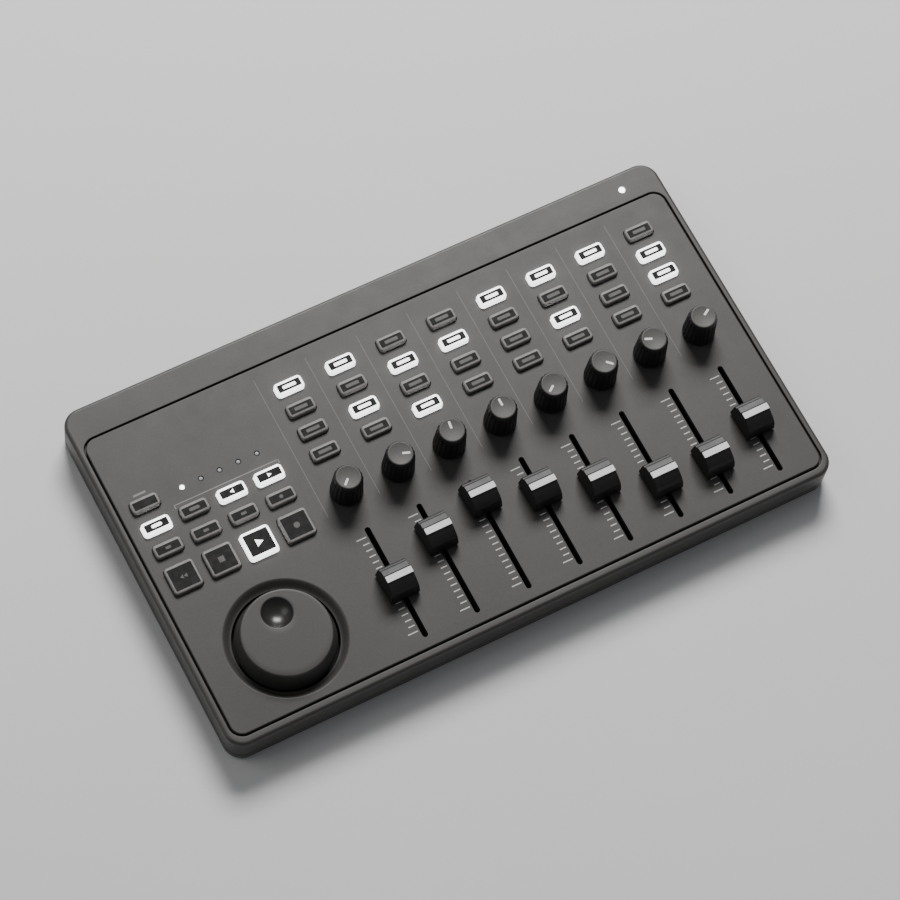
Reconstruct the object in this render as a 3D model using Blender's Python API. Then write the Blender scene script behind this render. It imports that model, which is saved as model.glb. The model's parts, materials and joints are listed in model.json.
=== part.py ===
"""Compact eight-channel control desk with faders, knobs, lit keys and a jog wheel.

World frame: +X to the right of the person using it, +Y to the rear, +Z up.
The origin is under the middle of the case, on the surface that the feet rest on.
"""
import math

import bmesh
import bpy

MM = 0.001

# Case
CASE_WIDTH = 278 * MM
CASE_DEPTH = 160 * MM
CASE_CORNER = 8 * MM
FOOT_DROP = 0.9 * MM
SPLIT_HEIGHT = 6.0 * MM
TOP_HEIGHT = 18.0 * MM
CASE_TOP = 17.7 * MM
WALL = 2.2 * MM
FLOOR_TOP = 3.3 * MM
LEDGE_BOTTOM = 14.6 * MM
LEDGE_TOP = 15.7 * MM
LEDGE_WIDTH = 2.5 * MM
RIM_ROUNDING = 2.2 * MM
TRAY_CHAMFER = 1.2 * MM
TRAY_WALL = 2.0 * MM
GAP = 0.3 * MM
OVERSHOOT = 1 * MM

# Control panel, let into the top case in front of the rear band
PANEL_WIDTH = 271.0 * MM
PANEL_DEPTH = 140.4 * MM
PANEL_CORNER = 5.2 * MM
PANEL_THICKNESS = 2.0 * MM
PANEL_Y = -5.4 * MM
PANEL_CHAMFER = 0.5 * MM
GROOVE = 0.8 * MM
PANEL_BOTTOM = TOP_HEIGHT - PANEL_THICKNESS

# Eight channels, each a column of four keys, a knob and a fader
CHANNELS = 8
CHANNEL_PITCH = 23.68 * MM
CHANNEL_1_X = -48.3 * MM
KEY_ROWS = 4
KEY_ROW_PITCH = 10.8 * MM
KEY_ROW_1_Y = 50.8 * MM
KNOB_Y = -0.8 * MM
SLOT_Y = -44.7 * MM
SLOT_LENGTH = 52.4 * MM
SLOT_WIDTH = 2.4 * MM

# How the desk was left: fader caps from the slot's middle, knobs clockwise from the rear
FADER_SETTINGS = [offset * MM for offset in (-1, 10.5, 17, 9, 2, -8, -9.5, -1.5)]
KNOB_SETTINGS = [math.radians(turn) for turn in (-133, 110, 8, 0, -125, 134, -67, 60)]

# Left section: scene key and lamps, two rows of keys, four transport keys, jog wheel
LEFT_COLUMN_1_X = -124.2 * MM
LEFT_PITCH = 16.9 * MM
LEFT_ROW_1_Y = 29.5 * MM
LEFT_ROW_PITCH = 10.7 * MM
TRANSPORT_Y = -5.8 * MM
LAMPS = 5
LAMP_PITCH = 8.45 * MM
LAMP_Y = 30.0 * MM
LAMP_RADIUS = 0.9 * MM
JOG_X = -98.9 * MM
JOG_Y = -46.7 * MM

# Keys
KEY_WIDTH = 12.3 * MM
KEY_DEPTH = 6.0 * MM
TRANSPORT_WIDTH = 12.8 * MM
TRANSPORT_DEPTH = 12.3 * MM
KEY_TOP = TOP_HEIGHT + 1.9 * MM
KEY_WEB_BOTTOM = 14.4 * MM
KEY_WEB_TOP = 15.4 * MM
KEY_WEB_MARGIN = 1.6 * MM
KEY_CORNER = 1.4 * MM
KEY_CHAMFER = 0.6 * MM

# Knobs, fader caps and jog wheel
KNOB_BASE = TOP_HEIGHT + 0.7 * MM
KNOB_TOP = TOP_HEIGHT + 15 * MM
KNOB_BASE_RADIUS = 6.9 * MM
KNOB_SHOULDER_RADIUS = 6.15 * MM
KNOB_TOP_RADIUS = 5.0 * MM
POINTER_WIDTH = 1.0 * MM
POINTER_START = 0.9 * MM
POINTER_END = 3.9 * MM
POINTER_GROOVE = 0.3 * MM
SHAFT_RADIUS = 3.0 * MM
FADER_BASE = TOP_HEIGHT + 0.8 * MM
LEVER_WIDTH = 1.1 * MM
LEVER_DEPTH = 4.0 * MM
LEVER_BOTTOM = 11.1 * MM
# Width, depth, corner radius and height above the base, up to the narrow ridge
FADER_RINGS = [[value * MM for value in ring] for ring in
               ((13.2, 14.2, 1.2, 0), (13.0, 13.8, 1.2, 2.4), (12.2, 12.2, 1.0, 6.6),
                (11.8, 8.0, 0.8, 8.2), (11.6, 3.6, 0.4, 9.8))]
DISH_RADIUS = 25.5 * MM
DISH_FLOOR_RADIUS = 21.9 * MM
DISH_FLOOR = 15.5 * MM
DISH_BOSS_RADIUS = 26.6 * MM
DISH_BOSS_BOTTOM = 14.3 * MM
JOG_TOP = TOP_HEIGHT + 6.5 * MM
JOG_BASE = 15.2 * MM
JOG_CEILING = 19.9 * MM
JOG_SHAFT_BOTTOM = 13.2 * MM
DIMPLE_WIDTH = 13.2 * MM
DIMPLE_DEPTH = 3.1 * MM
DIMPLE_OFFSET = (0.3 * MM, 9.2 * MM)

# Boards and what is soldered to them
MAIN_BOARD_BOTTOM = 4.6 * MM
MAIN_BOARD_TOP = 6.2 * MM
KEY_BOARD_BOTTOM = 11.4 * MM
KEY_BOARD_TOP = 12.6 * MM
POT_TOP = 12.6 * MM
SLIDE_POT_WIDTH = 8.4 * MM
SLIDE_POT_LENGTH = 62 * MM
LEVER_SLOT_WIDTH = 1.8 * MM
LEVER_SLOT_LENGTH = 55 * MM
ROTARY_POT_WIDTH = 9.6 * MM
POST_RADIUS = 3.0 * MM
POST_PIN_RADIUS = 1.8 * MM
ENCODER_RADIUS = 8 * MM
ENCODER_TOP = 12.9 * MM
BEARING_RADIUS = 6 * MM
BEARING_BORE = 3.4 * MM
BEARING_TOP = 16 * MM

# Battery bay under the rear band
BATTERY_RADIUS = 7.1 * MM
BATTERY_LENGTH = 50.0 * MM
BATTERY_Y = 70.8 * MM
BATTERY_Z = 9.5 * MM
BAY_HALF_LENGTH = 54.2 * MM
BAY_FRONT = 58.1 * MM
BAY_LEDGE = 2.4 * MM
BAY_WALL = 1.2 * MM
BAY_WALL_TOP = 13.5 * MM
BATTERY_ROOM = 0.35 * MM
DOOR_TOP = 2.1 * MM
TONGUE = 1.0 * MM

# Rear connections and fixings
USB_X = 90 * MM
USB_Z = 8.6 * MM
SWITCH_X = 112 * MM
SWITCH_Z = 10.9 * MM
USB_WIDTH = 7.9 * MM
USB_HEIGHT = 2.9 * MM
USB_WALL = 0.4 * MM
USB_MARGIN = 0.35 * MM
SWITCH_WINDOW = 12 * MM
SWITCH_WINDOW_HEIGHT = 4.4 * MM
SLIDER_WIDTH = 6 * MM
SLIDER_HEIGHT = 3.6 * MM
POWER_LAMP_X = 121.2 * MM
POWER_LAMP_Y = 71.8 * MM
POWER_LAMP_RADIUS = 1.3 * MM
BOSS_X = 132.8 * MM
BOSS_Y = 73.8 * MM
TOP_BOSS_RADIUS = 3.6 * MM
TRAY_BOSS_RADIUS = 4.0 * MM
SCREW_HOLE = 1.45 * MM
SCREW_HOLE_TOP = 13 * MM
SCREW_HEAD_RADIUS = 2.6 * MM
SCREW_HEAD_BOTTOM = 1.2 * MM
SCREW_HEAD_TOP = 2.7 * MM
SCREW_WELL = 3.0 * MM
FOOT_LENGTH = 210 * MM
FOOT_WIDTH = 8 * MM
FOOT_HEIGHT = 1.2 * MM
FOOT_YS = {"front_foot": -66 * MM, "rear_foot": 50 * MM}
POSTS = [(x * MM, y * MM) for x, y in
         ((-128, 52), (-128, -14), (-60, -14), (35, 52), (128, 52), (128, 12))]


def clear_scene():
    for thing in list(bpy.data.objects):
        bpy.data.objects.remove(thing, do_unlink=True)


def material(name, colour, roughness, metallic=0.0):
    """A Principled material, made once and shared by the parts of one finish."""
    finish = bpy.data.materials.get(name) or bpy.data.materials.new(name)
    finish.use_nodes = True
    shader = finish.node_tree.nodes["Principled BSDF"]
    shader.inputs["Base Color"].default_value = (*colour, 1.0)
    shader.inputs["Roughness"].default_value = roughness
    shader.inputs["Metallic"].default_value = metallic
    return finish


def panel_plastic():
    return material("panel_plastic", (0.105, 0.100, 0.098), 0.55)


def case_plastic():
    return material("case_plastic", (0.060, 0.057, 0.056), 0.50)


def cap_plastic():
    return material("cap_plastic", (0.016, 0.015, 0.015), 0.42)


def knob_plastic():
    return material("knob_plastic", (0.020, 0.019, 0.019), 0.48)


def key_silicone():
    return material("key_silicone", (0.45, 0.45, 0.46), 0.50)


def lens_plastic():
    return material("lens_plastic", (0.80, 0.80, 0.82), 0.25)


def board_laminate():
    return material("board_laminate", (0.020, 0.110, 0.045), 0.45)


def battery_wrap():
    return material("battery_wrap", (0.070, 0.075, 0.085), 0.35)


def plated_steel():
    return material("plated_steel", (0.62, 0.62, 0.63), 0.30, 1.0)


def foot_rubber():
    return material("foot_rubber", (0.018, 0.018, 0.018), 0.85)


def rounded_rectangle(width, depth, radius, steps=2):
    """Points of a rounded rectangle about the origin, anticlockwise."""
    points = []
    for corner, (side_x, side_y) in enumerate(((1, 1), (-1, 1), (-1, -1), (1, -1))):
        centre_x = side_x * (width / 2 - radius)
        centre_y = side_y * (depth / 2 - radius)
        for step in range(steps + 1):
            angle = math.radians(90 * (corner + step / steps))
            points.append((centre_x + radius * math.cos(angle),
                           centre_y + radius * math.sin(angle)))
    return points


def circle(radius, steps):
    return [(radius * math.cos(2 * math.pi * step / steps),
             radius * math.sin(2 * math.pi * step / steps)) for step in range(steps)]


def moved(points, x, y):
    return [(px + x, py + y) for px, py in points]


def add_stack(bm, rings):
    """Add one closed solid through stacked rings of (points, height)."""
    points, height = rings[0]
    bottom = bm.faces.new([bm.verts.new((x, y, height)) for x, y in points])
    top = bottom
    for points, height in rings[1:]:
        grown = bmesh.ops.extrude_face_region(bm, geom=[top])["geom"]
        if top is not bottom:
            bmesh.ops.delete(bm, geom=[top], context="FACES_ONLY")
        top = [item for item in grown if isinstance(item, bmesh.types.BMFace)][0]
        for vert, (x, y) in zip(top.verts, points):
            vert.co = (x, y, height)


def add_object(name, bm, finish=None, smooth_angle=30):
    """Turn a bmesh into a named object with its faces pointing out."""
    bmesh.ops.recalc_face_normals(bm, faces=bm.faces)
    mesh = bpy.data.meshes.new(name)
    bm.to_mesh(mesh)
    bm.free()
    mesh.shade_smooth()
    mesh.set_sharp_from_angle(angle=math.radians(smooth_angle))
    thing = bpy.data.objects.new(name, mesh)
    bpy.context.collection.objects.link(thing)
    if finish:
        mesh.materials.append(finish)
    return thing


def stacked(name, rings, finish=None):
    bm = bmesh.new()
    add_stack(bm, rings)
    return add_object(name, bm, finish)


def prisms(name, solids, finish=None):
    """Several upright prisms in one object, each (points, bottom, top)."""
    bm = bmesh.new()
    for points, bottom, top in solids:
        add_stack(bm, [(points, bottom), (points, top)])
    return add_object(name, bm, finish)


def box(x0, x1, y0, y1, z0, z1):
    """An upright block as a prism, from its lowest to its highest corner."""
    return [(x0, y0), (x1, y0), (x1, y1), (x0, y1)], z0, z1


def turned(name, profile, steps, finish=None, closed=False):
    """A solid turned about Z from (radius, height) points."""
    bm = bmesh.new()
    verts = [bm.verts.new((radius, 0, height)) for radius, height in profile]
    pairs = list(zip(verts, verts[1:]))
    if closed:
        pairs.append((verts[-1], verts[0]))
    edges = [bm.edges.new(pair) for pair in pairs]
    bmesh.ops.spin(bm, geom=verts + edges, axis=(0, 0, 1), cent=(0, 0, 0),
                   angle=2 * math.pi, steps=steps, use_merge=True)
    bmesh.ops.remove_doubles(bm, verts=bm.verts, dist=1e-7)
    return add_object(name, bm, finish)


def combine(target, tool, operation):
    """Cut or join a helper solid with an exact Boolean, and hide the helper."""
    modifier = target.modifiers.new(tool.name, "BOOLEAN")
    modifier.operation = operation
    modifier.solver = "EXACT"
    modifier.object = tool
    tool.hide_render = True
    tool.display_type = "WIRE"


def channel_x(channel):
    return CHANNEL_1_X + channel * CHANNEL_PITCH


def key_row_y(row):
    return KEY_ROW_1_Y - row * KEY_ROW_PITCH


def left_keys():
    """Name, centre and size of each key in the left section."""
    keys = [("scene_key", LEFT_COLUMN_1_X, LEFT_ROW_1_Y, KEY_WIDTH, KEY_DEPTH)]
    rows = (("track_back_key", "marker_set_key", "marker_back_key", "marker_next_key"),
            ("track_next_key", "cycle_key", "shift_key", "tap_key"))
    for row, names in enumerate(rows, start=1):
        for column, name in enumerate(names):
            keys.append((name, LEFT_COLUMN_1_X + column * LEFT_PITCH,
                         LEFT_ROW_1_Y - row * LEFT_ROW_PITCH, KEY_WIDTH, KEY_DEPTH))
    for column, name in enumerate(("rewind_key", "stop_key", "play_key", "record_key")):
        keys.append((name, LEFT_COLUMN_1_X + column * LEFT_PITCH,
                     TRANSPORT_Y, TRANSPORT_WIDTH, TRANSPORT_DEPTH))
    return keys


def boss_places():
    return [(side_x * BOSS_X, side_y * BOSS_Y) for side_y in (-1, 1) for side_x in (-1, 1)]


def panel_openings():
    """Every hole through the panel, as prisms in world coordinates."""
    low = LEDGE_BOTTOM - 2 * OVERSHOOT
    high = TOP_HEIGHT + OVERSHOOT
    key_hole = rounded_rectangle(KEY_WIDTH + 2 * GAP, KEY_DEPTH + 2 * GAP, KEY_CORNER, 1)
    slot = rounded_rectangle(SLOT_WIDTH, SLOT_LENGTH, SLOT_WIDTH / 2 - 0.01 * MM, 2)
    shaft_hole = circle(SHAFT_RADIUS + 2 * GAP, 12)
    outlines = []
    for channel in range(CHANNELS):
        for row in range(KEY_ROWS):
            outlines.append(moved(key_hole, channel_x(channel), key_row_y(row)))
        outlines.append(moved(shaft_hole, channel_x(channel), KNOB_Y))
        outlines.append(moved(slot, channel_x(channel), SLOT_Y))
    for _, x, y, width, depth in left_keys():
        hole = rounded_rectangle(width + 2 * GAP, depth + 2 * GAP, KEY_CORNER, 1)
        outlines.append(moved(hole, x, y))
    for lamp in range(LAMPS):
        lamp_x = LEFT_COLUMN_1_X + LEFT_PITCH + lamp * LAMP_PITCH
        outlines.append(moved(circle(LAMP_RADIUS + GAP, 8), lamp_x, LAMP_Y))
    return [(outline, low, high) for outline in outlines]


def control_panel():
    """Panel with its openings and the sloping dish that the jog wheel turns in."""
    edge = PANEL_CHAMFER
    full = moved(rounded_rectangle(PANEL_WIDTH, PANEL_DEPTH, PANEL_CORNER, 4), 0, PANEL_Y)
    inset = moved(rounded_rectangle(PANEL_WIDTH - 2 * edge, PANEL_DEPTH - 2 * edge,
                                    PANEL_CORNER - edge, 4), 0, PANEL_Y)
    panel = stacked("control_panel", [(full, PANEL_BOTTOM), (full, TOP_HEIGHT - edge),
                                      (inset, TOP_HEIGHT)], panel_plastic())
    boss = prisms("dish_boss", [(circle(DISH_BOSS_RADIUS, 48), DISH_BOSS_BOTTOM,
                                 PANEL_BOTTOM + OVERSHOOT)])
    bore = turned("dish_bore", [(0, DISH_FLOOR - 2 * MM), (DISH_FLOOR_RADIUS, DISH_FLOOR - 2 * MM),
                                (DISH_FLOOR_RADIUS, DISH_FLOOR), (DISH_RADIUS, TOP_HEIGHT),
                                (DISH_RADIUS, TOP_HEIGHT + OVERSHOOT),
                                (0, TOP_HEIGHT + OVERSHOOT)], 48)
    for helper in (boss, bore):
        helper.location = (JOG_X, JOG_Y, 0)
    combine(panel, boss, "UNION")
    combine(panel, bore, "DIFFERENCE")
    combine(panel, prisms("panel_holes", panel_openings()), "DIFFERENCE")


def top_case():
    """Upper shell: flange, rear band, panel ledge, bosses and rear windows."""
    def ring(inset):
        return rounded_rectangle(CASE_WIDTH - 2 * inset, CASE_DEPTH - 2 * inset,
                                 CASE_CORNER - inset, 4)

    bottom = SPLIT_HEIGHT + GAP / 2
    rim = [(ring(share * RIM_ROUNDING), CASE_TOP - drop * RIM_ROUNDING)
           for share, drop in ((0, 1), (0.23, 0.5), (0.5, 0.23), (1, 0))]
    case = stacked("top_case", [(ring(0), bottom)] + rim, case_plastic())
    cavity = rounded_rectangle(CASE_WIDTH - 2 * WALL, CASE_DEPTH - 2 * WALL, CASE_CORNER - WALL)
    pocket = moved(rounded_rectangle(PANEL_WIDTH + 2 * GROOVE, PANEL_DEPTH + 2 * GROOVE,
                                     PANEL_CORNER + GROOVE, 4), 0, PANEL_Y)
    pocket_width = PANEL_WIDTH + 2 * GROOVE
    pocket_depth = PANEL_DEPTH + 2 * GROOVE
    window = moved(rounded_rectangle(pocket_width - 2 * LEDGE_WIDTH,
                                     pocket_depth - 2 * LEDGE_WIDTH, 3.4 * MM), 0, PANEL_Y)
    above = TOP_HEIGHT + OVERSHOOT
    combine(case, prisms("case_cavity", [(cavity, bottom - OVERSHOOT, LEDGE_BOTTOM)]),
            "DIFFERENCE")
    bosses = [(moved(circle(TOP_BOSS_RADIUS, 12), x, y), bottom, LEDGE_BOTTOM + 0.5 * MM)
              for x, y in boss_places()]
    combine(case, prisms("case_bosses", bosses), "UNION")
    combine(case, prisms("panel_pocket", [(pocket, LEDGE_TOP, above)]), "DIFFERENCE")
    combine(case, prisms("panel_window", [(window, LEDGE_BOTTOM - OVERSHOOT, above)]),
            "DIFFERENCE")
    rear = CASE_DEPTH / 2
    holes = [(moved(circle(SCREW_HOLE, 10), x, y), bottom - OVERSHOOT, SCREW_HOLE_TOP)
             for x, y in boss_places()]
    for x, z, width, height in ((USB_X, USB_Z, USB_WIDTH + 2 * USB_MARGIN,
                                 USB_HEIGHT + 2 * USB_MARGIN),
                                (SWITCH_X, SWITCH_Z, SWITCH_WINDOW, SWITCH_WINDOW_HEIGHT)):
        holes.append(box(x - width / 2, x + width / 2, rear - WALL - OVERSHOOT,
                         rear + OVERSHOOT, z - height / 2, z + height / 2))
    holes.append((moved(circle(POWER_LAMP_RADIUS + GAP, 12), POWER_LAMP_X, POWER_LAMP_Y),
                  LEDGE_BOTTOM - OVERSHOOT, above))
    combine(case, prisms("case_holes", holes), "DIFFERENCE")
    bay_radius = BATTERY_RADIUS + BATTERY_ROOM
    end = BAY_HALF_LENGTH - BAY_WALL / 2
    bay = turned("battery_room", [(0, -end), (bay_radius, -end), (bay_radius, end), (0, end)],
                 32)
    bay.rotation_euler = (0, math.pi / 2, 0)
    bay.location = (0, BATTERY_Y, BATTERY_Z)
    combine(case, bay, "DIFFERENCE")


def board_post(x, y):
    """Shouldered post: the main board sits on the shoulder, the key board on the tip."""
    shoulder = moved(circle(POST_RADIUS, 10), x, y)
    pin = moved(circle(POST_PIN_RADIUS, 10), x, y)
    return [(shoulder, FLOOR_TOP - OVERSHOOT), (shoulder, MAIN_BOARD_BOTTOM - GAP),
            (pin, MAIN_BOARD_BOTTOM - GAP), (pin, KEY_BOARD_BOTTOM - GAP)]


def bottom_case():
    """Lower shell: tray with bosses, posts, battery bay walls and the door's runners."""
    top = SPLIT_HEIGHT - GAP / 2
    low = rounded_rectangle(CASE_WIDTH - 2 * TRAY_CHAMFER, CASE_DEPTH - 2 * TRAY_CHAMFER,
                            CASE_CORNER - TRAY_CHAMFER, 4)
    full = rounded_rectangle(CASE_WIDTH, CASE_DEPTH, CASE_CORNER, 4)
    case = stacked("bottom_case", [(low, FOOT_DROP), (full, FOOT_DROP + TRAY_CHAMFER),
                                   (full, top)], case_plastic())
    cavity = rounded_rectangle(CASE_WIDTH - 2 * TRAY_WALL, CASE_DEPTH - 2 * TRAY_WALL,
                               CASE_CORNER - TRAY_WALL)
    combine(case, prisms("tray_cavity", [(cavity, FLOOR_TOP, top + OVERSHOOT)]), "DIFFERENCE")
    bm = bmesh.new()
    for x, y in boss_places():
        boss = moved(circle(TRAY_BOSS_RADIUS, 12), x, y)
        add_stack(bm, [(boss, FLOOR_TOP - OVERSHOOT), (boss, top)])
    for x, y in POSTS:
        add_stack(bm, board_post(x, y))
    for side in (-1, 1):
        end = side * BAY_HALF_LENGTH
        outline, bottom, height = box(end - BAY_WALL / 2, end + BAY_WALL / 2,
                                      BAY_FRONT + BAY_LEDGE, CASE_DEPTH / 2 - WALL - GAP,
                                      FLOOR_TOP - 0.5 * MM, BAY_WALL_TOP)
        add_stack(bm, [(outline, bottom), (outline, height)])
    combine(case, add_object("tray_fittings", bm), "UNION")
    opening = BAY_HALF_LENGTH - BAY_WALL / 2 - GAP
    beyond = CASE_DEPTH / 2 + OVERSHOOT
    rear_wall = CASE_DEPTH / 2 - WALL
    holes = [box(-opening, opening, BAY_FRONT + BAY_LEDGE, rear_wall, 0, top),
             box(-BAY_HALF_LENGTH, BAY_HALF_LENGTH, BAY_FRONT, beyond, 0, DOOR_TOP + GAP)]
    combine(case, prisms("bay_opening", holes[:1]), "DIFFERENCE")
    combine(case, prisms("door_rebate", holes[1:]), "DIFFERENCE")
    reach = BAY_HALF_LENGTH + TONGUE
    runners = box(-reach, reach, BAY_FRONT + 2 * MM, beyond, 1.3 * MM, DOOR_TOP + GAP)
    combine(case, prisms("door_runners", [runners]), "DIFFERENCE")
    cuts = []
    for x, y in boss_places():
        cuts.append((moved(circle(SCREW_HOLE, 10), x, y), 2.5 * MM, top + OVERSHOOT))
    combine(case, prisms("screw_holes", cuts), "DIFFERENCE")
    recesses = [(moved(circle(SCREW_HEAD_RADIUS + GAP, 16), x, y), 0, SCREW_WELL)
                for x, y in boss_places()]
    for y in FOOT_YS.values():
        outline = rounded_rectangle(FOOT_LENGTH + 2 * GAP, FOOT_WIDTH + 2 * GAP,
                                    FOOT_WIDTH / 2 + GAP - 0.01 * MM, 3)
        recesses.append((moved(outline, 0, y), 0, FOOT_HEIGHT + GAP))
    combine(case, prisms("underside_recesses", recesses), "DIFFERENCE")


def battery_door():
    """Sliding door with a tongue along each short side and a thumb groove."""
    length = BAY_HALF_LENGTH - GAP
    front = BAY_FRONT + GAP
    rear = CASE_DEPTH / 2 - GAP
    middle = (front + rear) / 2
    door = prisms("battery_door", [box(-length, length, front - middle, rear - middle,
                                       FOOT_DROP, DOOR_TOP)], case_plastic())
    reach = length + TONGUE - GAP
    tongues = [box(-reach, reach, front + 3 * MM - middle, rear - 2 * MM - middle,
                   1.6 * MM, DOOR_TOP)]
    combine(door, prisms("door_tongues", tongues), "UNION")
    grooves = [box(-9 * MM, 9 * MM, offset - 0.5 * MM, offset + 0.5 * MM, 0, FOOT_DROP + 0.4 * MM)
               for offset in (-2 * MM, 0, 2 * MM)]
    combine(door, prisms("door_grooves", grooves), "DIFFERENCE")
    for piece in [door] + [modifier.object for modifier in door.modifiers]:
        piece.location = (0, middle, 0)


def main_board():
    """Main board with its soldered slide and rotary potentiometers."""
    x, notch_x = 133.5 * MM, 127.5 * MM
    front, notch_y, back = -75.8 * MM, -68.5 * MM, 58.0 * MM - 2 * GAP
    tongue = (80 * MM, 120 * MM, 73.0 * MM)
    outline = [(-notch_x, front), (notch_x, front), (notch_x, notch_y), (x, notch_y), (x, back),
               (tongue[1], back), (tongue[1], tongue[2]), (tongue[0], tongue[2]),
               (tongue[0], back), (-x, back), (-x, notch_y), (-notch_x, notch_y)]
    board = prisms("main_board", [(outline, MAIN_BOARD_BOTTOM, MAIN_BOARD_TOP)],
                   board_laminate())
    pots = []
    slots = []
    root = MAIN_BOARD_TOP - 0.4 * MM
    for channel in range(CHANNELS):
        slide = rounded_rectangle(SLIDE_POT_WIDTH, SLIDE_POT_LENGTH, 0.5 * MM, 1)
        rotary = rounded_rectangle(ROTARY_POT_WIDTH, ROTARY_POT_WIDTH, 0.5 * MM, 1)
        pots.append((moved(slide, channel_x(channel), SLOT_Y), root, POT_TOP))
        pots.append((moved(rotary, channel_x(channel), KNOB_Y), root, POT_TOP))
        slots.append(box(channel_x(channel) - LEVER_SLOT_WIDTH / 2,
                         channel_x(channel) + LEVER_SLOT_WIDTH / 2,
                         SLOT_Y - LEVER_SLOT_LENGTH / 2, SLOT_Y + LEVER_SLOT_LENGTH / 2,
                         LEVER_BOTTOM - 0.4 * MM, POT_TOP + OVERSHOOT))
    combine(board, prisms("potentiometers", pots), "UNION")
    combine(board, prisms("lever_slots", slots), "DIFFERENCE")
    holes = [(moved(circle(POST_PIN_RADIUS + 0.5 * MM, 10), px, py),
              MAIN_BOARD_BOTTOM - OVERSHOOT, MAIN_BOARD_TOP + OVERSHOOT) for px, py in POSTS]
    combine(board, prisms("post_holes", holes), "DIFFERENCE")


def key_board():
    """L-shaped board under the keys."""
    left, right = -132 * MM, 132 * MM
    front, step_x, step_y, back = -17.5 * MM, -56.5 * MM, 8 * MM, 57.5 * MM
    outline = [(left, front), (step_x, front), (step_x, step_y), (right, step_y),
               (right, back), (left, back)]
    prisms("key_board", [(outline, KEY_BOARD_BOTTOM, KEY_BOARD_TOP)], board_laminate())


def key_rings(width, depth):
    """Rings of one key cap from its web up to its slightly crowned top."""
    def ring(inset):
        return rounded_rectangle(width - 2 * inset, depth - 2 * inset, KEY_CORNER - inset, 1)

    return [(ring(0), KEY_WEB_TOP), (ring(0), KEY_TOP - KEY_CHAMFER),
            (ring(KEY_CHAMFER), KEY_TOP)]


def single_key(name, x, y, width, depth):
    """Key with the flange that keeps it under the panel."""
    flange = rounded_rectangle(width + 2 * KEY_WEB_MARGIN, depth + 2 * KEY_WEB_MARGIN,
                               KEY_CORNER, 1)
    rings = [(flange, KEY_WEB_BOTTOM), (flange, KEY_WEB_TOP)] + key_rings(width, depth)
    stacked(name, rings, key_silicone()).location = (x, y, 0)


def channel_keys(channel):
    """One moulding per channel: a web that carries the channel's four keys."""
    middle = key_row_y((KEY_ROWS - 1) / 2)
    length = (KEY_ROWS - 1) * KEY_ROW_PITCH + KEY_DEPTH + 2 * KEY_WEB_MARGIN
    web = rounded_rectangle(KEY_WIDTH + 2 * KEY_WEB_MARGIN, length, KEY_CORNER, 1)
    moulding = prisms(f"channel_{channel + 1}_keys", [(web, KEY_WEB_BOTTOM, KEY_WEB_TOP)],
                      key_silicone())
    bm = bmesh.new()
    for row in range(KEY_ROWS):
        y = key_row_y(row) - middle
        rings = key_rings(KEY_WIDTH, KEY_DEPTH)
        rings[0] = (rings[0][0], KEY_WEB_BOTTOM + 0.4 * MM)
        add_stack(bm, [(moved(points, 0, y), height) for points, height in rings])
    caps = add_object(f"channel_{channel + 1}_caps", bm)
    combine(moulding, caps, "UNION")
    for piece in (moulding, caps):
        piece.location = (channel_x(channel), middle, 0)


def knob(channel):
    """Tapered knob on its shaft, with a pointer groove in its flat top."""
    shaft_bottom = POT_TOP + 0.4 * MM
    profile = [(0, shaft_bottom), (SHAFT_RADIUS, shaft_bottom), (SHAFT_RADIUS, KNOB_BASE),
               (KNOB_BASE_RADIUS, KNOB_BASE), (KNOB_BASE_RADIUS, KNOB_BASE + 1.2 * MM),
               (KNOB_SHOULDER_RADIUS, KNOB_TOP - 1.9 * MM),
               (KNOB_TOP_RADIUS, KNOB_TOP), (0, KNOB_TOP)]
    body = turned(f"knob_{channel + 1}", profile, 20, knob_plastic())
    groove = prisms(f"pointer_{channel + 1}",
                    [box(-POINTER_WIDTH / 2, POINTER_WIDTH / 2, POINTER_START, POINTER_END,
                         KNOB_TOP - POINTER_GROOVE, KNOB_TOP + OVERSHOOT)])
    combine(body, groove, "DIFFERENCE")
    for piece in (body, groove):
        piece.location = (channel_x(channel), KNOB_Y, 0)
        piece.rotation_euler = (0, 0, -KNOB_SETTINGS[channel])


def fader(channel):
    """Fader cap on the flat lever that reaches into the slide potentiometer."""
    lever = rounded_rectangle(LEVER_WIDTH, LEVER_DEPTH, 0.2 * MM, 1)
    rings = [(lever, LEVER_BOTTOM), (lever, FADER_BASE)]
    for width, depth, radius, height in FADER_RINGS:
        rings.append((rounded_rectangle(width, depth, radius, 1), FADER_BASE + height))
    cap = stacked(f"fader_{channel + 1}", rings, cap_plastic())
    cap.location = (channel_x(channel), SLOT_Y + FADER_SETTINGS[channel], 0)


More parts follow.
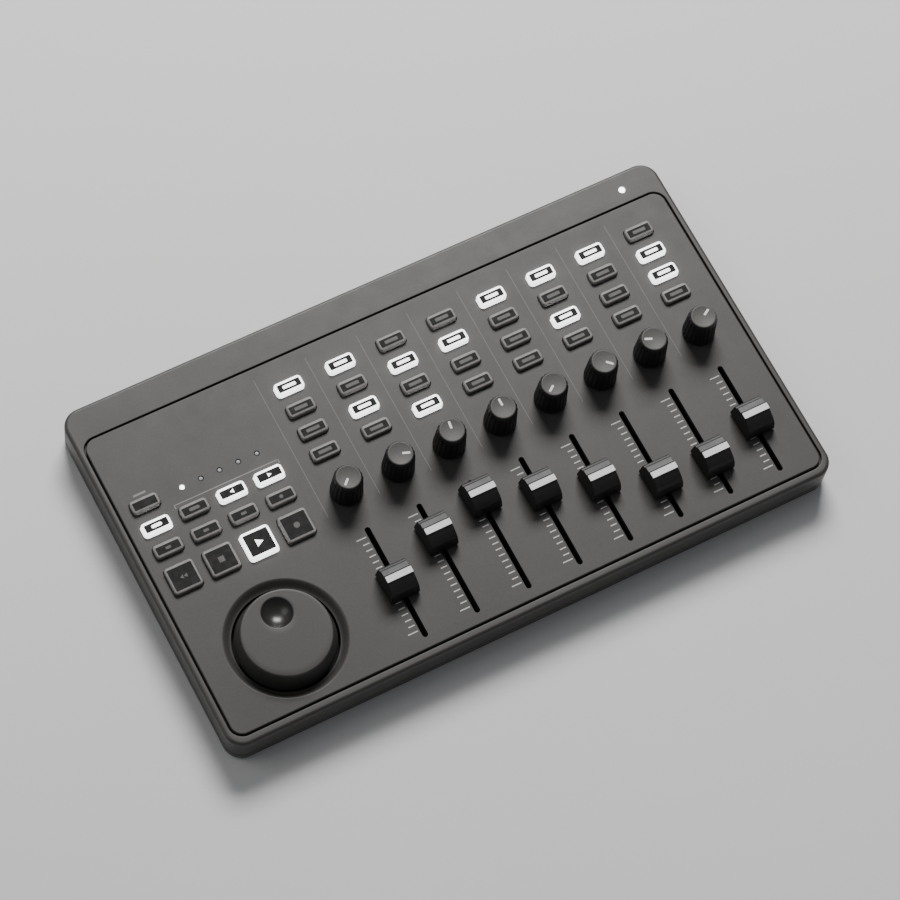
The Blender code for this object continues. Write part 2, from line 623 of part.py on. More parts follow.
def jog_wheel():
    """Hollow wheel with a skirt, a hub shaft and a finger dimple near its rear rim."""
    profile = [(0, JOG_SHAFT_BOTTOM), (SHAFT_RADIUS, JOG_SHAFT_BOTTOM),
               (SHAFT_RADIUS, JOG_CEILING), (17.2 * MM, JOG_CEILING), (19.0 * MM, JOG_BASE),
               (20.9 * MM, JOG_BASE), (19.9 * MM, JOG_TOP - 5.5 * MM),
               (18.85 * MM, JOG_TOP - 1.1 * MM), (18.25 * MM, JOG_TOP), (0, JOG_TOP)]
    wheel = turned("jog_wheel", profile, 48, panel_plastic())
    half = DIMPLE_WIDTH / 2
    ball = (half ** 2 + DIMPLE_DEPTH ** 2) / (2 * DIMPLE_DEPTH)
    arc = [math.asin(half / ball) * step / 4 for step in range(5)]
    bowl = [(ball * math.sin(angle), -ball * math.cos(angle)) for angle in arc]
    rim = bowl[-1][1]
    bowl += [(half, rim + OVERSHOOT), (0, rim + OVERSHOOT)]
    dimple = turned("finger_dimple", bowl, 20)
    wheel.location = (JOG_X, JOG_Y, 0)
    dimple.location = (JOG_X + DIMPLE_OFFSET[0], JOG_Y + DIMPLE_OFFSET[1], JOG_TOP - rim)
    combine(wheel, dimple, "DIFFERENCE")


def jog_encoder():
    """Encoder body with the bearing that the wheel's shaft turns in."""
    bottom = MAIN_BOARD_TOP + GAP
    profile = [(0, bottom), (ENCODER_RADIUS, bottom), (ENCODER_RADIUS, ENCODER_TOP),
               (BEARING_RADIUS, ENCODER_TOP), (BEARING_RADIUS, BEARING_TOP),
               (BEARING_BORE, BEARING_TOP), (BEARING_BORE, ENCODER_TOP), (0, ENCODER_TOP)]
    turned("jog_encoder", profile, 24, plated_steel()).location = (JOG_X, JOG_Y, 0)


def scene_lamps():
    """Light guide: a bar under the panel with five posts that show as lamps."""
    bm = bmesh.new()
    bar = rounded_rectangle((LAMPS - 1) * LAMP_PITCH + 5 * MM, 3.4 * MM, 0.8 * MM, 1)
    add_stack(bm, [(bar, 13.8 * MM), (bar, 15.4 * MM)])
    guide = add_object("scene_lamps", bm, lens_plastic())
    posts = []
    for lamp in range(LAMPS):
        offset = (lamp - (LAMPS - 1) / 2) * LAMP_PITCH
        posts.append((moved(circle(LAMP_RADIUS, 8), offset, 0), 14.4 * MM, TOP_HEIGHT))
    helper = prisms("lamp_posts", posts)
    combine(guide, helper, "UNION")
    for piece in (guide, helper):
        piece.location = (LEFT_COLUMN_1_X + LEFT_PITCH + (LAMPS - 1) / 2 * LAMP_PITCH, LAMP_Y, 0)


def power_lamp():
    """Flanged lens in the rear band."""
    flange = 2.2 * MM
    bottom = LEDGE_BOTTOM - OVERSHOOT
    profile = [(0, bottom), (flange, bottom), (flange, LEDGE_BOTTOM - GAP),
               (POWER_LAMP_RADIUS, LEDGE_BOTTOM - GAP),
               (POWER_LAMP_RADIUS, CASE_TOP - 0.1 * MM), (0.8 * MM, CASE_TOP + 0.2 * MM),
               (0, CASE_TOP + 0.3 * MM)]
    turned("power_lamp", profile, 12, lens_plastic()).location = (POWER_LAMP_X, POWER_LAMP_Y, 0)


def usb_socket():
    """Socket shell, open to the rear."""
    rear = CASE_DEPTH / 2 - 0.4 * MM
    width, height = USB_WIDTH / 2, USB_HEIGHT / 2
    shell = prisms("usb_socket", [box(-width, width, rear - 6 * MM, rear,
                                      USB_Z - height, USB_Z + height)], plated_steel())
    width, height = width - USB_WALL, height - USB_WALL
    mouth = prisms("usb_mouth", [box(-width, width, rear - 5.2 * MM, rear + OVERSHOOT,
                                     USB_Z - height, USB_Z + height)])
    combine(shell, mouth, "DIFFERENCE")
    for piece in (shell, mouth):
        piece.location = (USB_X, 0, 0)


def power_switch():
    """Slider in the rear window, with a flange that stays behind the wall."""
    rear = CASE_DEPTH / 2
    x = SWITCH_X + SWITCH_WINDOW / 2 - SLIDER_WIDTH / 2 - GAP
    slider = prisms("power_switch", [box(-SLIDER_WIDTH / 2, SLIDER_WIDTH / 2,
                                         rear - 4.5 * MM, rear - 0.5 * MM,
                                         SWITCH_Z - SLIDER_HEIGHT / 2,
                                         SWITCH_Z + SLIDER_HEIGHT / 2)], knob_plastic())
    cover = SLIDER_HEIGHT / 2 + OVERSHOOT
    flange = prisms("switch_flange", [box(-8.5 * MM, 5 * MM, rear - 4.2 * MM, rear - 2.8 * MM,
                                          SWITCH_Z - cover, SWITCH_Z + cover)])
    combine(slider, flange, "UNION")
    for piece in (slider, flange):
        piece.location = (x, 0, 0)


def battery(name, x):
    """Cell lying along X, its positive cap towards +X."""
    half = BATTERY_LENGTH / 2
    profile = [(0, -half), (BATTERY_RADIUS - 0.5 * MM, -half), (BATTERY_RADIUS, -half + 0.5 * MM),
               (BATTERY_RADIUS, half - 1.9 * MM), (BATTERY_RADIUS - 0.5 * MM, half - 1.4 * MM),
               (2.75 * MM, half - 1.4 * MM), (2.75 * MM, half), (0, half)]
    cell = turned(name, profile, 24, battery_wrap())
    cell.rotation_euler = (0, math.pi / 2, 0)
    cell.location = (x, BATTERY_Y, BATTERY_Z)


def battery_contact(name, side):
    """Sprung contact plate at one end of the bay, with its raised pad."""
    plate = rounded_rectangle(10 * MM, 12 * MM, 1 * MM, 1)
    pad = circle(2.5 * MM, 12)
    contact = prisms(name, [(plate, 0, 0.6 * MM)], plated_steel())
    pads = prisms(f"{name}_pad", [(pad, 0.3 * MM, 2.3 * MM)])
    combine(contact, pads, "UNION")
    for piece in (contact, pads):
        piece.rotation_euler = (0, -side * math.pi / 2, 0)
        piece.location = (side * (BAY_HALF_LENGTH - 0.9 * MM), BATTERY_Y - 0.5 * MM, BATTERY_Z)


def foot(name, y):
    outline = rounded_rectangle(FOOT_LENGTH, FOOT_WIDTH, FOOT_WIDTH / 2 - 0.01 * MM, 3)
    prisms(name, [(outline, 0, FOOT_HEIGHT)], foot_rubber()).location = (0, y, 0)


def case_screw(name, x, y):
    """Case screw from below, its head in the counterbore, with a cross recess."""
    head, core = SCREW_HEAD_RADIUS, SCREW_HOLE - GAP
    tip = SCREW_HOLE_TOP - OVERSHOOT
    profile = [(0, SCREW_HEAD_BOTTOM), (head - GAP, SCREW_HEAD_BOTTOM),
               (head, SCREW_HEAD_BOTTOM + 0.4 * MM), (head, SCREW_HEAD_TOP),
               (core, SCREW_HEAD_TOP), (core, tip), (0, tip + 0.6 * MM)]
    screw = turned(name, profile, 16, plated_steel())
    arm, half = 1.4 * MM, 0.3 * MM
    cross = [(arm, -half), (arm, half), (half, half), (half, arm), (-half, arm), (-half, half),
             (-arm, half), (-arm, -half), (-half, -half), (-half, -arm), (half, -arm),
             (half, -half)]
    recess = prisms(f"{name}_recess", [(cross, 0, SCREW_HEAD_BOTTOM + 0.8 * MM)])
    combine(screw, recess, "DIFFERENCE")
    for piece in (screw, recess):
        piece.location = (x, y, 0)


def main():
    clear_scene()
    top_case()
    bottom_case()
    control_panel()
    main_board()
    key_board()
    for channel in range(CHANNELS):
        channel_keys(channel)
        knob(channel)
        fader(channel)
    for key in left_keys():
        single_key(*key)
    jog_wheel()
    jog_encoder()
    scene_lamps()
    power_lamp()
    usb_socket()
    power_switch()
    battery_door()
    cell_offset = BATTERY_LENGTH / 2 + GAP / 2
    battery("battery_1", -cell_offset)
    battery("battery_2", cell_offset)
    battery_contact("battery_contact_left", -1)
    battery_contact("battery_contact_right", 1)
    for name, y in FOOT_YS.items():
        foot(name, y)
    for number, (x, y) in enumerate(boss_places(), start=1):
        case_screw(f"case_screw_{number}", x, y)


main()
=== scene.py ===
"""Looks of the compact eight-channel control desk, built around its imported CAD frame."""
import json
import math

import bmesh
import bpy
from mathutils import Matrix, Vector


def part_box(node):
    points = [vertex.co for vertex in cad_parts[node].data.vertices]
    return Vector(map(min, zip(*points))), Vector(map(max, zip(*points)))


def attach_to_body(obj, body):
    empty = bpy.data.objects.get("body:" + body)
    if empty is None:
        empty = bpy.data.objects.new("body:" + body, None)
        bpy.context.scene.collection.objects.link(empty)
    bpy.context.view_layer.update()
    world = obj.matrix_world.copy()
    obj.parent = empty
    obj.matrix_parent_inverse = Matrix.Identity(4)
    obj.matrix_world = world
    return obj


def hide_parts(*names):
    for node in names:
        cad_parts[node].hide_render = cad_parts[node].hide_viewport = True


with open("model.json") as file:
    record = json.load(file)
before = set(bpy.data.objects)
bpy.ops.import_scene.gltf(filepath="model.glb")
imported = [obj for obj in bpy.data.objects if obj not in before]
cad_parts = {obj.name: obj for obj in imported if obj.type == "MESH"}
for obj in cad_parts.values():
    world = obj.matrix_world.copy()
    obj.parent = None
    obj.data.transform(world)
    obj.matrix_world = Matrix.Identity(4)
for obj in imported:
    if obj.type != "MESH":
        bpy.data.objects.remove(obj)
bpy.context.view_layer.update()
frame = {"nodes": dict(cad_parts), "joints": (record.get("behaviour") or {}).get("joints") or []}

MM = 0.001

# ---------------------------------------------------------------- measures from the frame
PANEL_LOW, PANEL_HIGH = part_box("control_panel")
PANEL_TOP = PANEL_HIGH.z
PANEL_Y = (PANEL_LOW.y + PANEL_HIGH.y) / 2
PANEL_WIDTH = PANEL_HIGH.x - PANEL_LOW.x
PANEL_DEPTH = PANEL_HIGH.y - PANEL_LOW.y
CASE_LOW, CASE_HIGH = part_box("top_case")
CASE_WIDTH = CASE_HIGH.x - CASE_LOW.x
CASE_DEPTH = CASE_HIGH.y - CASE_LOW.y
CASE_TOP = CASE_HIGH.z
TRAY_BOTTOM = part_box("bottom_case")[0].z
TRAY_SPLIT = CASE_LOW.z - 0.3 * MM
KEY_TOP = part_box("scene_key")[1].z
WEB_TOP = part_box("scene_key")[0].z + 1.0 * MM

# ---------------------------------------------------------------- sizes no box gives
PANEL_BOTTOM = PANEL_TOP - 2.0 * MM
PANEL_CORNER = 5.2 * MM
CASE_CORNER = 8 * MM
GROOVE = 0.8 * MM
CORNER_STEPS = 12
SLOT_Y = -44.7 * MM
SLOT_LENGTH = 52.4 * MM
FADER_TRAVEL = 45 * MM
# Keeps a round end from closing on itself, and faces from lying in one plane
HAIR = 0.01 * MM

CHANNELS = range(1, 9)
SCREWS = range(1, 5)
FEET = ("front_foot", "rear_foot")


def middle(node):
    low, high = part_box(node)
    return (low + high) / 2


# ---------------------------------------------------------------- materials
class Shader:
    """A Principled material whose inputs are built up from procedural nodes."""

    def __init__(self, name):
        self.material = bpy.data.materials.new(name)
        self.material.use_nodes = True
        self.tree = self.material.node_tree
        self.principled = self.tree.nodes["Principled BSDF"]
        self.coordinates = self.node("ShaderNodeTexCoord").outputs["Object"]

    def node(self, kind, **values):
        """New node with its settings, or failing that its inputs, set by name."""
        node = self.tree.nodes.new(kind)
        for key, value in values.items():
            if hasattr(node, key):
                setattr(node, key, value)
            else:
                node.inputs[key.replace("_", " ")].default_value = value
        return node

    def link(self, source, target):
        self.tree.links.new(source, target)

    def noise(self, size, detail=3.0, stretch=None):
        """Noise whose features are about size metres across."""
        texture = self.node("ShaderNodeTexNoise", Scale=1.0 / size, Detail=detail,
                            Roughness=0.55)
        source = self.coordinates
        if stretch:
            mapping = self.node("ShaderNodeMapping")
            mapping.inputs["Scale"].default_value = stretch
            self.link(source, mapping.inputs["Vector"])
            source = mapping.outputs["Vector"]
        self.link(source, texture.inputs["Vector"])
        return texture.outputs["Fac"]

    def cells(self, size):
        """Pebbles about size metres across."""
        texture = self.node("ShaderNodeTexVoronoi", Scale=1.0 / size)
        self.link(self.coordinates, texture.inputs["Vector"])
        return texture.outputs["Distance"]

    def spread(self, source, low, high, from_low=0.3, from_high=0.7):
        """Map a 0 to 1 texture onto the range low to high."""
        node = self.node("ShaderNodeMapRange")
        node.inputs["From Min"].default_value = from_low
        node.inputs["From Max"].default_value = from_high
        node.inputs["To Min"].default_value = low
        node.inputs["To Max"].default_value = high
        self.link(source, node.inputs["Value"])
        return node.outputs["Result"]

    def mix(self, factor, first, second):
        """Mix two colours, each a tuple or a socket, by a socket factor."""
        node = self.node("ShaderNodeMix", data_type="RGBA")
        self.link(factor, node.inputs["Factor"])
        for value, socket in ((first, node.inputs[6]), (second, node.inputs[7])):
            if isinstance(value, tuple):
                socket.default_value = (*value, 1.0)
            else:
                self.link(value, socket)
        return node.outputs[2]

    def times(self, source, factor):
        """Multiply a socket by a number or by another socket."""
        node = self.node("ShaderNodeMath", operation="MULTIPLY")
        self.link(source, node.inputs[0])
        if isinstance(factor, float):
            node.inputs[1].default_value = factor
        else:
            self.link(factor, node.inputs[1])
        return node.outputs["Value"]

    def bump(self, height, strength, distance, below=None):
        """Normals of a height texture, on top of those of below."""
        node = self.node("ShaderNodeBump", Strength=strength, Distance=distance)
        self.link(height, node.inputs["Height"])
        if below is not None:
            self.link(below, node.inputs["Normal"])
        return node.outputs["Normal"]

    def use(self, socket, source):
        self.link(source, self.principled.inputs[socket])

    def set(self, **values):
        """Set inputs that are the same all over."""
        for key, value in values.items():
            self.principled.inputs[key.replace("_", " ")].default_value = value


def scaled(colour, factor):
    return tuple(min(1.0, channel * factor) for channel in colour)


def edge_mask(shader):
    """Grows from 0 to 1 along raised edges, broken up by fine noise."""
    geometry = shader.node("ShaderNodeNewGeometry")
    edge = shader.spread(geometry.outputs["Pointiness"], 0.0, 1.0, 0.53, 0.62)
    return shader.times(edge, shader.spread(shader.noise(2.2 * MM), 0.25, 1.0))


def moulded_plastic(name, colour, roughness, grain=0.42 * MM, relief=0.02 * MM, strength=0.35,
                    edge_highlight=0.35, specular=0.5):
    """Moulded plastic: fine spark-eroded grain, slow colour drift, raised edges painted lighter
    as a highlight.
    """
    shader = Shader(name)
    drift = shader.spread(shader.noise(38 * MM, 4.0), 0.0, 1.0)
    base = shader.mix(drift, scaled(colour, 0.88), scaled(colour, 1.12))
    speck = shader.spread(shader.noise(0.7 * MM, 2.0), 0.0, 0.28, 0.45, 0.8)
    base = shader.mix(speck, base, scaled(colour, 1.9))
    # Painted highlight: raised edges lightened to stand for light caught on their rounding
    base = shader.mix(shader.times(edge_mask(shader), edge_highlight), base, scaled(colour, 3.2))
    shader.use("Base Color", base)
    smear = shader.spread(shader.noise(9 * MM, 5.0), roughness - 0.035, roughness + 0.035)
    shader.use("Roughness", smear)
    coarse = shader.bump(shader.noise(grain * 2.6, 2.0), strength * 0.5, relief * 1.5)
    shader.use("Normal", shader.bump(shader.cells(grain), strength, relief, coarse))
    shader.set(Specular_IOR_Level=specular)
    return shader.material


def silicone(name, colour, glow=0.0):
    """Milky silicone, soft and slightly see-through; a lit one glows from inside."""
    shader = Shader(name)
    drift = shader.spread(shader.noise(3 * MM, 3.0), 0.0, 1.0)
    base = shader.mix(drift, scaled(colour, 0.86), scaled(colour, 1.10))
    shader.use("Base Color", base)
    shader.use("Roughness", shader.spread(shader.noise(1.5 * MM, 3.0), 0.42, 0.60))
    shader.use("Normal", shader.bump(shader.noise(0.35 * MM, 2.0), 0.15, 0.01 * MM))
    shader.set(Subsurface_Weight=0.3, Subsurface_Scale=0.0012, IOR=1.41)
    shader.set(Subsurface_Radius=(1.0, 0.95, 0.9))
    if glow:
        light = shader.mix(drift, (0.94, 0.96, 1.0), (1.0, 1.0, 1.0))
        shader.use("Emission Color", light)
        shader.set(Emission_Strength=glow)
    return shader.material


def key_paint(name):
    """Matte black paint on the key tops, thinly rubbed where fingers land."""
    shader = Shader(name)
    rub = shader.spread(shader.noise(2.4 * MM, 4.0), 0.0, 1.0, 0.42, 0.72)
    shader.use("Base Color", shader.mix(rub, (0.0085, 0.0078, 0.0072), (0.014, 0.013, 0.012)))
    shader.use("Roughness", shader.spread(rub, 0.66, 0.54, 0.0, 1.0))
    shader.use("Normal", shader.bump(shader.noise(0.22 * MM, 2.0), 0.2, 0.008 * MM))
    shader.set(Specular_IOR_Level=0.22)
    return shader.material


def print_ink(name, colour):
    """Screen-printed marks, slightly uneven in tone."""
    shader = Shader(name)
    worn = shader.spread(shader.noise(0.5 * MM, 4.0), 0.0, 1.0, 0.35, 0.8)
    shader.use("Base Color", shader.mix(worn, colour, scaled(colour, 0.72)))
    shader.use("Roughness", shader.spread(worn, 0.45, 0.65, 0.0, 1.0))
    return shader.material


def plated_metal(name, colour, roughness):
    """Plated sheet or turned metal with fine brushing and a few dull spots."""
    shader = Shader(name)
    brush = shader.noise(0.3 * MM, 3.0, stretch=(1.0, 0.08, 1.0))
    tint = shader.spread(shader.noise(4 * MM, 3.0), 0.0, 1.0)
    shader.use("Base Color", shader.mix(tint, scaled(colour, 0.8), colour))
    shader.use("Roughness", shader.spread(brush, roughness - 0.08, roughness + 0.12))
    shader.use("Normal", shader.bump(brush, 0.12, 0.01 * MM))
    shader.set(Metallic=1.0)
    return shader.material


def rubber(name, colour):
    """Foot rubber: dull, faintly dusty, with a pebbled skin."""
    shader = Shader(name)
    dust = shader.spread(shader.noise(5 * MM, 5.0), 0.0, 1.0, 0.45, 0.75)
    shader.use("Base Color", shader.mix(dust, colour, scaled(colour, 1.35)))
    shader.use("Roughness", shader.spread(dust, 0.78, 0.95, 0.0, 1.0))
    shader.use("Normal", shader.bump(shader.cells(0.6 * MM), 0.4, 0.03 * MM))
    return shader.material


def board_finish(name):
    """Solder-masked laminate below, dark potentiometer housings above it."""
    shader = Shader(name)
    split = shader.node("ShaderNodeSeparateXYZ")
    shader.link(shader.coordinates, split.inputs[0])
    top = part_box("main_board")[0].z + 1.7 * MM
    height = shader.spread(split.outputs["Z"], 0.0, 1.0, top, top + 0.1 * MM)
    mask = shader.spread(shader.noise(6 * MM, 4.0), 0.0, 1.0)
    laminate = shader.mix(mask, (0.005, 0.018, 0.010), (0.008, 0.028, 0.015))
    shader.use("Base Color", shader.mix(height, laminate, (0.012, 0.012, 0.013)))
    shader.use("Roughness", shader.spread(mask, 0.38, 0.55, 0.0, 1.0))
    shader.use("Normal", shader.bump(shader.noise(0.9 * MM), 0.1, 0.02 * MM))
    return shader.material


def cell_sleeve(name):
    """Plain dark sleeve of a dry cell, glossy and slightly uneven."""
    shader = Shader(name)
    wrap = shader.spread(shader.noise(8 * MM, 3.0, stretch=(0.2, 1.0, 1.0)), 0.0, 1.0)
    shader.use("Base Color", shader.mix(wrap, (0.035, 0.038, 0.044), (0.055, 0.060, 0.068)))
    shader.use("Roughness", shader.spread(wrap, 0.22, 0.36, 0.0, 1.0))
    shader.set(Coat_Weight=0.4, Coat_Roughness=0.2)
    return shader.material


def lamp_lens(name, glow):
    """Frosted light guide; a lit one glows white."""
    shader = Shader(name)
    frost = shader.spread(shader.noise(0.4 * MM, 2.0), 0.0, 1.0)
    shader.use("Base Color", shader.mix(frost, (0.30, 0.30, 0.31), (0.42, 0.42, 0.43)))
    shader.use("Roughness", shader.spread(frost, 0.30, 0.42, 0.0, 1.0))
    if glow:
        shader.use("Emission Color", shader.mix(frost, (0.92, 0.95, 1.0), (1.0, 1.0, 1.0)))
        shader.set(Emission_Strength=glow)
    return shader.material


def floor_finish(name):
    """Pale matte paper sweep."""
    shader = Shader(name)
    drift = shader.spread(shader.noise(0.35, 3.0), 0.0, 1.0)
    shader.use("Base Color", shader.mix(drift, (0.74, 0.73, 0.72), (0.78, 0.775, 0.77)))
    shader.use("Roughness", shader.spread(drift, 0.62, 0.72, 0.0, 1.0))
    return shader.material


LOOK = {
    "panel": moulded_plastic("panel_plastic", (0.046, 0.0425, 0.0395), 0.50),
    "case": moulded_plastic("case_plastic", (0.043, 0.040, 0.037), 0.47),
    "wheel": moulded_plastic("wheel_plastic", (0.044, 0.041, 0.038), 0.47, edge_highlight=0.25),
    # Painted shade: the dimple's bowl made darker than the wheel to stand for the shade inside
    # it
    "dimple": moulded_plastic("dimple_plastic", (0.020, 0.0185, 0.017), 0.31, edge_highlight=0.1,
                              strength=0.1, specular=0.6),
    "cap": moulded_plastic("cap_plastic", (0.014, 0.013, 0.012), 0.46, grain=0.3 * MM,
                           strength=0.25, edge_highlight=0.2, specular=0.42),
    "knob": moulded_plastic("knob_plastic", (0.013, 0.012, 0.0115), 0.48, grain=0.3 * MM,
                            strength=0.2, edge_highlight=0.2, specular=0.4),
    # Painted highlight: the knob's black plastic made much paler on its top, where the light
    # falls
    "knob_highlit_top": moulded_plastic("knob_top_plastic", (0.095, 0.089, 0.083), 0.55, edge_highlight=0.0,
                                specular=0.3),
    "silicone": silicone("key_silicone", (0.225, 0.213, 0.202)),
    "silicone_lit": silicone("key_silicone_lit", (0.80, 0.80, 0.80), glow=2.9),
    "symbol": silicone("key_symbol", (0.125, 0.119, 0.112)),
    "symbol_lit": silicone("key_symbol_lit", (0.85, 0.85, 0.85), glow=2.1),
    "key_paint": key_paint("key_paint"),
    "ink": print_ink("print_ink", (0.62, 0.62, 0.60)),
    "faint_ink": print_ink("faint_print_ink", (0.15, 0.142, 0.134)),
    "grey_ink": print_ink("grey_print_ink", (0.24, 0.23, 0.22)),
    "pointer": print_ink("pointer_paint", (0.93, 0.925, 0.91)),
    "steel": plated_metal("plated_steel", (0.66, 0.66, 0.68), 0.28),
    "rubber": rubber("foot_rubber", (0.017, 0.0165, 0.016)),
    "board": board_finish("board_laminate"),
    "cell": cell_sleeve("battery_wrap"),
    "lamp": lamp_lens("lens_plastic", 0.0),
    "lamp_lit": lamp_lens("lens_plastic_lit", 6.0),
    "floor": floor_finish("pale_floor"),
}


# ---------------------------------------------------------------- mesh tools
def rounded_rectangle(width, depth, radius, steps=CORNER_STEPS, centre=(0.0, 0.0)):
    """Outline with round corners, anticlockwise from the right."""
    points = []
    for corner, (side_x, side_y) in enumerate(((1, 1), (-1, 1), (-1, -1), (1, -1))):
        middle_x = centre[0] + side_x * (width / 2 - radius)
        middle_y = centre[1] + side_y * (depth / 2 - radius)
        for step in range(steps + 1):
            angle = math.radians(90 * (corner + step / steps))
            points.append((middle_x + radius * math.cos(angle),
                           middle_y + radius * math.sin(angle)))
    return points


def circle(radius, steps, centre=(0.0, 0.0)):
    return [(centre[0] + radius * math.cos(2 * math.pi * step / steps),
             centre[1] + radius * math.sin(2 * math.pi * step / steps))
            for step in range(steps)]


def moved(points, centre):
    return [(x + centre[0], y + centre[1]) for x, y in points]


def rounding(radius, steps, top=0.0):
    """(inset, height) pairs of a quarter round that ends level at height top."""
    pairs = []
    for step in range(steps + 1):
        angle = math.pi / 2 * step / steps
        pairs.append((radius * (1 - math.cos(angle)), top - radius + radius * math.sin(angle)))
    return pairs


def add_skin(bm, rows, slots=None, loop=False):
    """Skin rows of points, close the ends, and give each band its material index."""
    rows = [[bm.verts.new(point) for point in row] for row in rows]
    bands = list(zip(rows, rows[1:]))
    if loop:
        bands.append((rows[-1], rows[0]))
    for index, (lower, upper) in enumerate(bands):
        for place in range(len(lower)):
            after = (place + 1) % len(lower)
            face = bm.faces.new((lower[place], lower[after], upper[after], upper[place]))
            face.material_index = slots[index] if slots else 0
    if not loop:
        bm.faces.new(reversed(rows[0])).material_index = slots[0] if slots else 0
        bm.faces.new(rows[-1]).material_index = slots[-1] if slots else 0


def add_loft(bm, rings, slots=None, loop=False):
    """Skin stacked rings of (points, height)."""
    add_skin(bm, [[(x, y, height) for x, y in points] for points, height in rings], slots, loop)


def add_prism(bm, outline, low, high, slot=0):
    """Upright prism between two heights."""
    add_loft(bm, [(outline, low), (outline, high)], slots=[slot, slot])


def add_box(bm, low, high):
    outline = [(low[0], low[1]), (high[0], low[1]), (high[0], high[1]), (low[0], high[1])]
    add_prism(bm, outline, low[2], high[2])


def make(name, bm, looks, sharp=32):
    """Object from a bmesh, faces out, with its materials and smooth shading."""
    bmesh.ops.recalc_face_normals(bm, faces=bm.faces)
    mesh = bpy.data.meshes.new(name)
    bm.to_mesh(mesh)
    bm.free()
    for look in looks:
        mesh.materials.append(LOOK[look])
    mesh.shade_smooth()
    mesh.set_sharp_from_angle(angle=math.radians(sharp))
    thing = bpy.data.objects.new(name, mesh)
    bpy.context.scene.collection.objects.link(thing)
    return thing


def apply_modifiers(thing):
    bpy.context.view_layer.update()
    graph = bpy.context.evaluated_depsgraph_get()
    mesh = bpy.data.meshes.new_from_object(thing.evaluated_get(graph))
    thing.modifiers.clear()
    thing.data = mesh


def settle(thing, sharp=32):
    """Apply a piece's cuts, drop their helpers and let large flat faces lead the shading."""
    helpers = [modifier.object for modifier in thing.modifiers if modifier.type == "BOOLEAN"]
    apply_modifiers(thing)
    for helper in helpers:
        bpy.data.objects.remove(helper)
    thing.data.shade_smooth()
    thing.data.set_sharp_from_angle(angle=math.radians(sharp))
    normals = thing.modifiers.new("normals", "WEIGHTED_NORMAL")
    normals.weight = 100
    normals.keep_sharp = True
    apply_modifiers(thing)


def cut(thing, bm, operation="DIFFERENCE"):
    """Cut (or join) with the solids in bm by an exact Boolean."""
    helper = make(thing.name + "_cutter", bm, [])
    modifier = thing.modifiers.new("shape", "BOOLEAN")
    modifier.operation = operation
    modifier.solver = "EXACT"
    modifier.object = helper


def soften(thing, width, segments=2, angle=50):
    """Round the edges that are sharper than angle."""
    modifier = thing.modifiers.new("soften", "BEVEL")
    modifier.width = width
    modifier.segments = segments
    modifier.limit_method = "ANGLE"
    modifier.angle_limit = math.radians(angle)
    modifier.miter_outer = "MITER_ARC"


def attach(thing, body, slot, *nodes):
    """Ride a piece on its body and hide the CAD nodes that it replaces. The slot argument is not
    used.
    """
    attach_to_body(thing, body)
    if nodes:
        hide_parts(*nodes)


# ---------------------------------------------------------------- case
CASE_WALL = 2.2 * MM
RIM_ROUNDING = 1.6 * MM
LIP_ROUNDING = 0.3 * MM
SPLIT_CHAMFER = 0.3 * MM
LEDGE_GAP = 0.3 * MM
LEDGE_THICKNESS = 1.1 * MM
LEDGE_REACH = 2.5 * MM
LEDGE_CORNER = 3.4 * MM
OVERSHOOT = 1 * MM

# Width and height of the rear openings, and how far the slider's lies from its flange's end
USB_OPENING = (8.6 * MM, 3.6 * MM)
SWITCH_OPENING = (12.0 * MM, 4.4 * MM)
SWITCH_SETBACK = 8.7 * MM
REAR_OPENING_CORNER = 0.6 * MM
POWER_LAMP_OPENING = 1.6 * MM

PANEL_ROUNDING = 0.55 * MM
PANEL_EDGE = 0.16 * MM
DISH_STEPS = 96
DISH_BOSS = 26.6 * MM
DISH_OUTER = 25.7 * MM
DISH_INNER = 21.9 * MM
DISH_DROP = 2.6 * MM
KEY_GAP = 0.3 * MM
KEY_OPENING_CORNER = 1.8 * MM
SHAFT_OPENING = 3.6 * MM
SLOT_WIDTH = 2.4 * MM
LAMP_OPENING = 1.2 * MM

TRAY_ROUNDING = 1.5 * MM
TRAY_WALL = 2.0 * MM
TRAY_FLOOR = 3.3 * MM
DOOR_GAP = 0.3 * MM
DOOR_LEDGE = 1.3 * MM
BAY_SIDE_LEDGE = 1.9 * MM
BAY_FRONT_LEDGE = 2.1 * MM
BAY_REAR_LEDGE = 2.2 * MM
SCREW_WELL = 2.9 * MM
SCREW_WELL_TOP = 3.0 * MM

DOOR_TONGUE = 1.0 * MM
GRIP_RIBS = 7
GRIP_PITCH = 1.6 * MM
GRIP_DEPTH = 0.35 * MM


def case_ring(inset, height):
    """The case's outline, drawn in by inset, at a height."""
    return (rounded_rectangle(CASE_WIDTH - 2 * inset, CASE_DEPTH - 2 * inset,
                              CASE_CORNER - inset), height)


def panel_ring(grow, height, corner=None):
    """The panel's outline, let out by grow, at a height."""
    radius = PANEL_CORNER + grow if corner is None else corner
    return (rounded_rectangle(PANEL_WIDTH + 2 * grow, PANEL_DEPTH + 2 * grow, radius,
                              centre=(0, PANEL_Y)), height)


